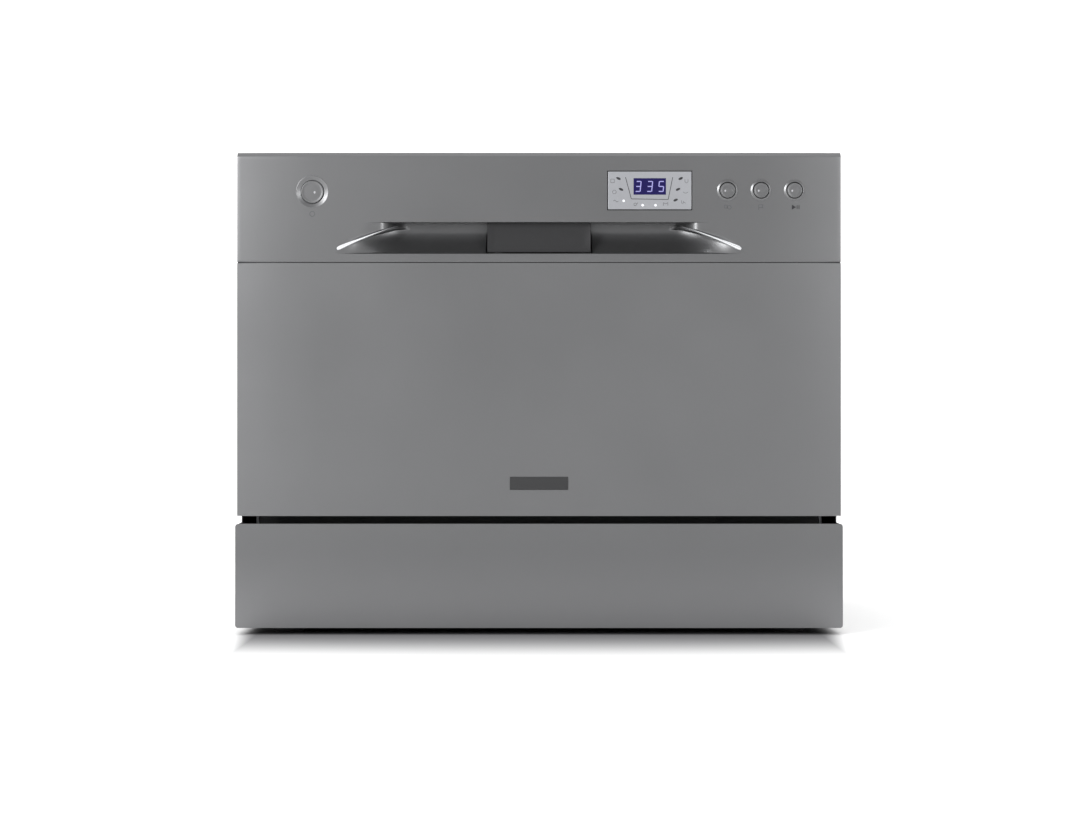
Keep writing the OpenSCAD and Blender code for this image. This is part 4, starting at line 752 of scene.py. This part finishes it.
def polyline(bm, points, x, z, width, y, closed=True):
    pairs = list(zip(points, points[1:] + points[:1] if closed else points[1:]))
    for (x0, z0), (x1, z1) in pairs:
        stroke(bm, (x + x0, z + z0), (x + x1, z + z1), width, y)


def ringPoints(radius, steps=14, start=0.0, turn=math.tau):
    return [(radius * math.cos(start + turn * k / steps), radius * math.sin(start + turn * k / steps))
            for k in range(steps)]


faceY = panel["front"] - 0.01
marks = bmesh.new()
polyline(marks, [(-3.6, 2.4), (-1.2, 2.4), (-1.2, -0.4), (-3.6, -0.4)], 171.6, 386.8, 0.6, faceY)
polyline(marks, ringPoints(1.7), 172.2, 387.2, 0.6, faceY)
polyline(marks, [(-2.2, -2.2), (-2.2, 2.4), (1.8, 2.4), (0.9, 1.0), (1.8, -0.2), (-2.2, -0.2)], 201.0, 387.0, 0.62,
         faceY, False)
polyline(marks, ringPoints(2.3), -205.2, 381.2, 0.75, faceY)
finishPiece("faintMarks", scaled(marks), "door", faintInkFinish)
marks = bmesh.new()
for k in range(9):
    reach = 2.1 * (1 - k / 8)
    stroke(marks, (229.1 + 0.42 * k, 387.3 - reach), (229.1 + 0.42 * k, 387.3 + reach + 0.02), 0.45, faceY)
for x in (233.6, 235.3):
    stroke(marks, (x, 385.6), (x, 389.0), 0.5, faceY)
bracket = [(-21.937, 11.986), (-16.69, -7.644), (16.69, -8.187), (20.761, 11.986)]
plateY = display["front"] - 0.03
polyline(marks, bracket, display["x"], display["z"], 0.55, plateY, False)
finishPiece("darkMarks", scaled(marks), "door", inkAndShadeFinish)

# each sign on the plate: its points, its place from the display's middle, line width and whether it is closed
plateSigns = [
    ([(-1.6, -1.6), (1.6, -1.6), (1.6, 1.6), (-1.6, 1.6)], -33.7, 8.6, 0.35, True),
    (ringPoints(1.7), -32.0, -1.4, 0.35, True),
    ([(-2.4, 0), (-1, 0.9), (1, -0.9), (2.4, 0)], -30.6, -9.6, 0.4, False),
    (ringPoints(1.2) + [(1.2, 0), (2.4, 1.6)], -13.2, -12.6, 0.4, True),
    ([(-2, -1.4), (-2, 1.4), (0, 0.2), (2, 1.4), (2, -1.4)], 14.4, -12.4, 0.4, False),
    ([(-1.4, 1.8), (-1.4, -0.6), (0, -1.8), (1.4, -0.6), (1.4, 1.8)], 33.2, 8.4, 0.35, False),
    ([(-2.2, 0.6), (-0.8, -0.6), (0.8, -0.6), (2.2, 0.4)], 32.4, -1.8, 0.35, False),
    ([(-1.8, 1.2), (-1.8, -1.4), (-0.2, -1.4), (-0.2, 0.2), (1.8, -1.4)], 30.6, -10.2, 0.35, False),
]
marks = bmesh.new()
for points, x, z, width, closed in plateSigns:
    polyline(marks, points, display["x"] + x, display["z"] + z, width, plateY, closed)
finishPiece("plateMarks", scaled(marks), "door", faintInkFinish)

# painted shade: a dark strip in the seam between door sheet and panel stands in for the seam's shade
bm = bmesh.new()
addBox(bm, (-272.8, -248.1, 336.82), (272.8, -246.4, 337.58))
finishPiece("seamShadeStrip", scaled(bm), "door", inkAndShadeFinish)

badge = {"half": 26.4, "low": 131.5, "high": 143.3, "front": -249.8}
bm = bmesh.new()
addBox(bm, (-badge["half"], badge["front"], badge["low"]), (badge["half"], -249.0, badge["high"]), 0.35, 3)
finishPiece("barePlate", scaled(bm), "door", badgeFinish, ("badge_plate",))

print("cabinet and door")
roundings = {
    "door_outer_panel": 0.35, "plinth": 0.4, "door_inner_panel": 0.3, "front_crossmember": 0.3, "tub": 0.3,
    "tub_seal": 1.4, "sump": 1.0, "fine_filter": 0.2, "spray_arm_post": 0.5, "wash_pump": 1.2, "drain_pump": 1.2,
    "softener": 2.0, "inlet_valve": 1.0, "air_break": 1.0, "float_switch": 0.6, "latch_strike": 0.5,
    "hinge_brackets": 0.5, "cord_inlet": 0.8, "control_board": 0.2, "dispenser": 0.5, "door_latch": 0.4,
    "door_switch": 0.8, "hinge_arms": 0.5, "door_lower_seal": 1.6, "latch_cam": 0.4, "dispenser_flap": 0.5,
    "rinse_aid_cap": 0.6, "spray_arm": 3.0, "salt_cap": 1.0, "coarse_filter": 0.4, "float": 1.0,
    "wash_impeller": 0.4, "cutlery_basket": 0.35, "base_tray": 1.0, "cabinet_wrap": 0.1, "tub_insulation": 1.5,
    "heater": 0, "hoses": 0,
}
for node, width in roundings.items():
    if width:
        roundedCopy(node, width, finish=plinthFootLightFinish if node == "plinth" else None)
    else:
        roundedCopy(node, 0.05, 1, None, 60, 45)

# the sheet's lower lip is notched where the spring hooks pass through it when the door is down
springNotch = {"x": 255.5, "half": 8, "front": -234, "back": -216, "low": 100, "high": 112}
notches = bmesh.new()
for side in (-1, 1):
    addBox(notches, (side * springNotch["x"] - springNotch["half"], springNotch["front"], springNotch["low"]),
           (side * springNotch["x"] + springNotch["half"], springNotch["back"], springNotch["high"]))
cutHoles(bpy.data.objects["door_outer_panelRounded"], notches)

print("rear")
rear = {"half": 273.9, "low": 8.0, "high": 436.9, "back": 240.0, "thick": 0.8, "emboss": 3.0,
        "fields": [(-235, 235, 150, 400), (-120, 110, 60, 118)],
        "ports": [(200, 85, 14.2), (155, 85, 10.5), (-200, 65, 10.5)],
        "screwX": 267, "screwRows": (130, 220, 310, 400), "vents": 9, "firstVent": -96, "ventPitch": 23}
doorScrews = {"front": -204.0, "sheetX": 266.5, "sheetRows": (179.6, 237.6, 295.6), "panelX": 263.5,
              "panelRows": (349.6, 423.0)}
feet = {"side": 230, "rows": (-204, 195)}


def rearPanel():
    # one sheet with two pressed-out fields; its row of vents is cut into it further on
    bm = bmesh.new()
    around = (-5, 0, 5)
    columns = sorted({-rear["half"], rear["half"], *[x + d for f in rear["fields"] for x in f[:2] for d in around]})
    rows = sorted({rear["low"], rear["high"], *[z + d for f in rear["fields"] for z in f[2:] for d in around]})
    made = bmesh.ops.create_grid(bm, x_segments=len(columns) - 1, y_segments=len(rows) - 1, size=0.5)
    for vert in made["verts"]:
        x = columns[round((vert.co.x + 0.5) * (len(columns) - 1))]
        z = rows[round((vert.co.y + 0.5) * (len(rows) - 1))]
        raised = 0
        for x0, x1, z0, z1 in rear["fields"]:
            inside = min(x - x0, x1 - x, z - z0, z1 - z)
            raised = max(raised, smoothStep(inside / 10 + 0.5))
        vert.co = (x, rear["back"] - rear["thick"] - rear["emboss"] * raised, z)
    bmesh.ops.recalc_face_normals(bm, faces=bm.faces)
    if bm.faces[:][0].normal.y < 0:
        bmesh.ops.reverse_faces(bm, faces=bm.faces)
    bmesh.ops.solidify(bm, geom=bm.faces[:], thickness=-rear["thick"])
    return scaled(bm)


back = finishPiece("rearSheet", rearPanel(), "cabinet", finishes["zinc_steel"], ("rear_panel",), 20,
                   False)
cutters = bmesh.new()
for x, z, radius in rear["ports"]:
    lathe(cutters, [(0, -12), (radius, -12), (radius, 8), (0, 8)], (x, rear["back"], z), "Y", 48)
for side in (-1, 1):
    for z in rear["screwRows"]:
        lathe(cutters, [(0, -12), (2.1, -12), (2.1, 8), (0, 8)], (side * rear["screwX"], rear["back"], z), "Y", 16)
for k in range(rear["vents"]):
    x = rear["firstVent"] + rear["ventPitch"] * k
    addBox(cutters, (x, 225, 70), (x + 6, 250, 108), 2.4, 3)
cutHoles(back, cutters)


def screwHead(bm, x, y, z, radius, shaft, length, outwards=1):
    # a pan head with a cross in it
    o = outwards
    lathe(bm, [(0, 0.9 * o), (radius * 0.3, 0.9 * o), (radius * 0.36, 1.5 * o), (radius * 0.7, 1.3 * o),
               (radius * 0.95, 0.7 * o), (radius, 0), (shaft, 0), (shaft, -length * o), (0, -(length + 1) * o)],
          (x, y, z), "Y", 20)
    for turn in (0, 90):
        place = Matrix.Translation((x, y + 1.05 * o, z)) @ Matrix.Rotation(math.radians(turn), 4, "Y")
        bmesh.ops.create_cube(bm, size=1.0, matrix=place @ Matrix.Diagonal((radius * 0.9, 0.7, radius * 0.18, 1)))


bm = bmesh.new()
for side in (-1, 1):
    for z in rear["screwRows"]:
        screwHead(bm, side * rear["screwX"], rear["back"], z, 3.9, 1.9, 7)
finishPiece("rearScrewHeads", scaled(bm), "cabinet", finishes["zinc_steel"], ("rear_screws",))
bm = bmesh.new()
for side in (-1, 1):
    for z in doorScrews["sheetRows"]:
        screwHead(bm, side * doorScrews["sheetX"], doorScrews["front"], z, 3.3, 1.7, 8)
    for z in doorScrews["panelRows"]:
        screwHead(bm, side * doorScrews["panelX"], doorScrews["front"], z, 3.3, 1.7, 8)
finishPiece("doorScrewHeads", scaled(bm), "door", finishes["zinc_steel"], ("door_screws",))

bm = bmesh.new()
for x in (-feet["side"], feet["side"]):
    for y in feet["rows"]:
        lathe(bm, [(0, 0.6), (9, 0.6), (10, 0), (13, 0), (14.4, 1.2), (15, 3), (14.6, 5), (12, 6.4), (12, 8), (0, 8)],
              (x, y, 0), "Z", 40)
finishPiece("rubberFeet", scaled(bm), "cabinet", finishes["rubber"], ("feet",))

print("springs")
coil = {"x": 255.5, "z": 125.6, "start": -170.2, "length": 70, "radius": 4.9, "wire": 0.95, "turns": 24,
        "hookEnd": -205.0, "anchor": -87.2}


def springRun(side):
    x, z = side * coil["x"], coil["z"]
    run = [Vector((x, coil["hookEnd"], z)), Vector((x, coil["start"] - 3, z))]
    steps = coil["turns"] * 14
    for k in range(steps + 1):
        angle = k / 14 * math.tau
        run.append(Vector((x + coil["radius"] * math.sin(angle), coil["start"] + 1 + (coil["length"] - 2) * k / steps,
                           z + coil["radius"] * math.cos(angle))))
    run += [Vector((x, coil["start"] + coil["length"] + 3, z)), Vector((x, coil["anchor"], z))]
    return [point * mm for point in run]


wirePiece("coilSprings", [springRun(-1), springRun(1)], coil["wire"] * mm, "cabinet", "zinc_steel",
          ("hinge_springs",))

print("rack")
rack = {"side": 228.0, "front": -164.4, "back": 148.4, "low": 195.4, "top": 282.2, "wire": 1.6, "corner": 22,
        "gapsX": 18, "gapsY": 9, "tines": 9, "tineHeight": 66,
        "axles": (-79.0, 81.0), "axleZ": 167.1, "wheelX": 215.0, "wheelWidth": 9.0, "wheelRadius": 16.0,
        "carrier": (225.7, 229.5), "clips": (-56, 104)}
shelf = {"x": -222.0, "z": 277.8, "front": -76, "back": 124, "reach": 88}


def rackLoop(height):
    side, y0, y1 = rack["side"], rack["front"], rack["back"]
    corners = [(-side, y0, height), (side, y0, height), (side, y1, height), (-side, y1, height)]
    return [point * mm for point in rounded2d(corners, rack["corner"])]


def uRun(start, end, height):
    # a wire that comes down at one side, crosses the floor and goes up again
    start, end = Vector(start), Vector(end)
    way = (end - start).normalized()
    points = [start + Vector((0, 0, height))]
    for k in range(5):
        t = k / 4
        a = start + Vector((0, 0, 6))
        b = start + way * 6
        points.append((1 - t) ** 2 * a + 2 * t * (1 - t) * start + t * t * b)
    for k in range(5):
        t = k / 4
        a = end - way * 6
        b = end + Vector((0, 0, 6))
        points.append((1 - t) ** 2 * a + 2 * t * (1 - t) * end + t * t * b)
    points.append(end + Vector((0, 0, height)))
    return [point * mm for point in points]


runs = [rackLoop(z) for z in (rack["low"], rack["low"] + 40.5, rack["top"])]
closed = (0, 1, 2)
stepX = 2 * rack["side"] / rack["gapsX"]
stepY = (rack["back"] - rack["front"]) / rack["gapsY"]
rise = rack["top"] - rack["low"]
for i in range(rack["gapsX"] + 1):
    x = -rack["side"] + i * stepX
    if abs(x) < rack["side"] - 10:
        height = rise if i % 3 == 0 else 0.5
        runs.append(uRun((x, rack["front"], rack["low"]), (x, rack["back"], rack["low"]), height))
for i in range(rack["gapsY"] + 1):
    y = rack["front"] + i * stepY
    if rack["front"] + 10 < y < rack["back"] - 10:
        height = rise if i % 3 == 0 else 0.5
        runs.append(uRun((-rack["side"], y, rack["low"]), (rack["side"], y, rack["low"]), height))
for column in (5, 9):
    x = -rack["side"] + column * stepX
    for i in range(rack["tines"]):
        y = rack["front"] + (i + 0.5) * (rack["back"] - rack["front"]) / rack["tines"]
        runs.append([Vector(p) * mm for p in ((x, y, rack["low"]), (x, y, rack["low"] + rack["tineHeight"] - 1.5),
                                              (x, y, rack["low"] + rack["tineHeight"]))])


def rackFittings(bm):
    # wheel carriers and the clips of the folding shelf
    made = bmesh.new()
    for side in (-1, 1):
        for y in rack["axles"]:
            xs = sorted(side * x for x in rack["carrier"])
            addBox(made, (xs[0], y - 11, rack["axleZ"] - 7), (xs[1], y + 11, rack["low"] + 1.6), 1.2)
            lathe(made, [(0, side * 212.7), (5.5, side * 212.7), (6, side * 213.2), (6, side * 214.1),
                         (4, side * 214.2), (4, side * 226.6), (0, side * 226.6)], (0, y, rack["axleZ"]), "X", 24)
    for y in rack["clips"]:
        lathe(made, [(2.1, -4), (3.9, -4), (4.2, -3.6), (4.2, 3.6), (3.9, 4), (2.1, 4), (2.1, -4)],
              (shelf["x"], y, shelf["z"]), "Y", 24)
        addBox(made, (shelf["x"] - 7.4, y - 4, shelf["z"] - 3), (shelf["x"] - 3.6, y + 4, shelf["z"] + 3), 0.8)
    extra = bpy.data.meshes.new("fittings")
    scaled(made).to_mesh(extra)
    made.free()
    bm.from_mesh(extra)


wirePiece("wireRack", runs, rack["wire"] * mm, "rack", "coated_wire", ("rack",), closed, rackFittings)

for node, y in (("rack_wheels_front", rack["axles"][0]), ("rack_wheels_rear", rack["axles"][1])):
    bm = bmesh.new()
    x0, x1, r = rack["wheelX"], rack["wheelX"] + rack["wheelWidth"], rack["wheelRadius"]
    for side in (-1, 1):
        profile = [(4.06, x0 + 0.1), (7, x0 + 0.1), (7.2, x0 + 1.8), (r - 3.2, x0 + 1.8), (r - 2.8, x0 + 0.3),
                   (r - 0.8, x0), (r, x0 + 1), (r, x1 - 1), (r - 0.8, x1), (r - 2.8, x1 - 0.3), (r - 3.2, x1 - 1.8),
                   (7.2, x1 - 1.8), (7, x1 - 0.1), (4.06, x1 - 0.1), (4.06, x0 + 0.1)]
        lathe(bm, [(radius, side * x) for radius, x in profile], (0, y, rack["axleZ"]), "X", 48)
        for k in range(5):
            spoke = Matrix.Translation((side * (x0 + x1) / 2, y, rack["axleZ"])) \
                @ Matrix.Rotation(k * math.tau / 5, 4, "X") @ Matrix.Translation((0, 0, 10))
            bmesh.ops.create_cube(bm, size=1.0, matrix=spoke @ Matrix.Diagonal((7.6, 2, 6.4, 1)))
    finishPiece(node + "Spoked", scaled(bm), bodyOf[node], finishes[slotOf[node]], (node,))


def shelfRun(*places):
    return [Vector((x, y, shelf["z"])) * mm for x, y in places]


near, far, corner = shelf["front"] + 2, shelf["back"] - 2, shelf["x"] + shelf["reach"]
runs = [shelfRun((shelf["x"], shelf["front"]), (shelf["x"], shelf["back"])),
        shelfRun((shelf["x"], near), (corner - 8, near), (corner - 2, near + 2), (corner, near + 8),
                 (corner, far - 8), (corner - 2, far - 2), (corner - 8, far), (shelf["x"], far))]
for i in range(1, 5):
    y = near + i * (far - near) / 5
    runs.append(shelfRun((shelf["x"], y), (corner, y)))
for share in (0.36, 0.68):
    x = shelf["x"] + shelf["reach"] * share
    runs.append(shelfRun((x, near), (x, far)))
wirePiece("foldingShelf", runs, 1.6 * mm, "cup_shelf", "coated_wire", ("cup_shelf",))

print("stage")
paintedShadow = {"front": -0.249, "near": -0.012, "reach": 0.298, "back": 0.24, "half": 0.27, "blur": 0.016}
bm = bmesh.new()
# a floor that curves up into a wall behind the machine, in metres
paperSheet = {"near": -4.0, "bend": 2.2, "radius": 1.2, "top": 5.0, "half": 6}
bend, turn = paperSheet["bend"], paperSheet["radius"]
profile = [(paperSheet["near"], 0.0), (bend, 0.0)]
for k in range(1, 9):
    profile.append((bend + turn * math.sin(k * math.pi / 16), turn - turn * math.cos(k * math.pi / 16)))
profile.append((bend + turn, paperSheet["top"]))
verts = [bm.verts.new((-paperSheet["half"], y, z)) for y, z in profile]
edges = [bm.edges.new(pair) for pair in zip(verts, verts[1:])]
made = bmesh.ops.extrude_edge_only(bm, edges=edges)["geom"]
farSide = [item for item in made if isinstance(item, bmesh.types.BMVert)]
bmesh.ops.translate(bm, vec=(2 * paperSheet["half"], 0, 0), verts=farSide)
bmesh.ops.recalc_face_normals(bm, faces=bm.faces)
mesh = bpy.data.meshes.new("paleFloor")
bm.to_mesh(mesh)
bm.free()
sharpen(mesh, 60)
paper = Finish("paleFloor", {"Specular IOR Level": 0.0, "Emission Strength": 0.08})
spot = paper.add("ShaderNodeTexCoord", output="Object")
apart = {"x": paper.add("ShaderNodeSeparateXYZ", None, {"Vector": spot}, "X"),
         "y": paper.add("ShaderNodeSeparateXYZ", None, {"Vector": spot}, "Y")}


def softStep(value, start, end):
    # 0 at start and 1 at end, with an even curve between them
    return paper.add("ShaderNodeMapRange", {"interpolation_type": "SMOOTHSTEP"},
                     {"Value": value, "From Min": start, "From Max": end})


# painted shadow: under the machine and in a soft band in front of it, the floor's colour darkens and its glow goes
# out, standing in for the contact shadow
ahead = softStep(paintedShadow["front"] - apart["y"], paintedShadow["near"], paintedShadow["reach"])
behind = softStep(apart["y"] - paintedShadow["back"], 0, paintedShadow["blur"])
narrowed = paper.maths("ABSOLUTE", apart["x"], 0) + 0.09 * paper.maths("MAXIMUM", paintedShadow["front"] - apart["y"], 0.0)
beside = softStep(narrowed, paintedShadow["half"] - paintedShadow["blur"], paintedShadow["half"] + paintedShadow["blur"])
clear = paper.maths("MAXIMUM", paper.maths("MAXIMUM", ahead, behind), beside)
tone = paper.grain(3.0)
pale = paper.blend(tone, (0.9, 0.9, 0.9, 1), (0.92, 0.92, 0.92, 1))
paper.drive("Base Color", paper.blend(clear, (0.16, 0.16, 0.165, 1), pale))
paper.drive("Roughness", 0.9 + tone * 0.05)
paper.drive("Emission Color", paper.blend(clear, (0, 0, 0, 1), (1, 1, 1, 1)))
mesh.materials.append(paper.material)
floor = bpy.data.objects.new("paleFloor", mesh)
scene.collection.objects.link(floor)

lights = {
    "leftSoftbox": {"place": (-1.5, -2.2, 1.1), "aim": (-0.25, -0.25, 0.4), "size": (0.8, 0.9), "power": 62},
    "rightSoftbox": {"place": (1.5, -2.3, 0.9), "aim": (0.25, -0.25, 0.4), "size": (0.9, 0.9), "power": 24},
    "overhead": {"place": (0, -0.3, 2.6), "aim": (0, 0, 0), "size": (3.0, 2.4), "power": 17},
    "rearWash": {"place": (0, 1.2, 3.2), "aim": (0, 3.4, 1.0), "size": (5.0, 1.0), "power": 70},
}
for name, light in lights.items():
    data = bpy.data.lights.new(name, "AREA")
    data.shape = "RECTANGLE"
    data.size, data.size_y = light["size"]
    data.energy = light["power"]
    lamp = bpy.data.objects.new(name, data)
    lamp.location = light["place"]
    lamp.rotation_euler = (Vector(light["aim"]) - Vector(light["place"])).to_track_quat("-Z", "Y").to_euler()
    scene.collection.objects.link(lamp)

world = bpy.data.worlds.new("paleRoom")
scene.world = world
world.use_nodes = True
worldNodes = world.node_tree
worldNodes.nodes["Background"].inputs["Color"].default_value = (1, 1, 1, 1)
worldNodes.nodes["Background"].inputs["Strength"].default_value = 0.9
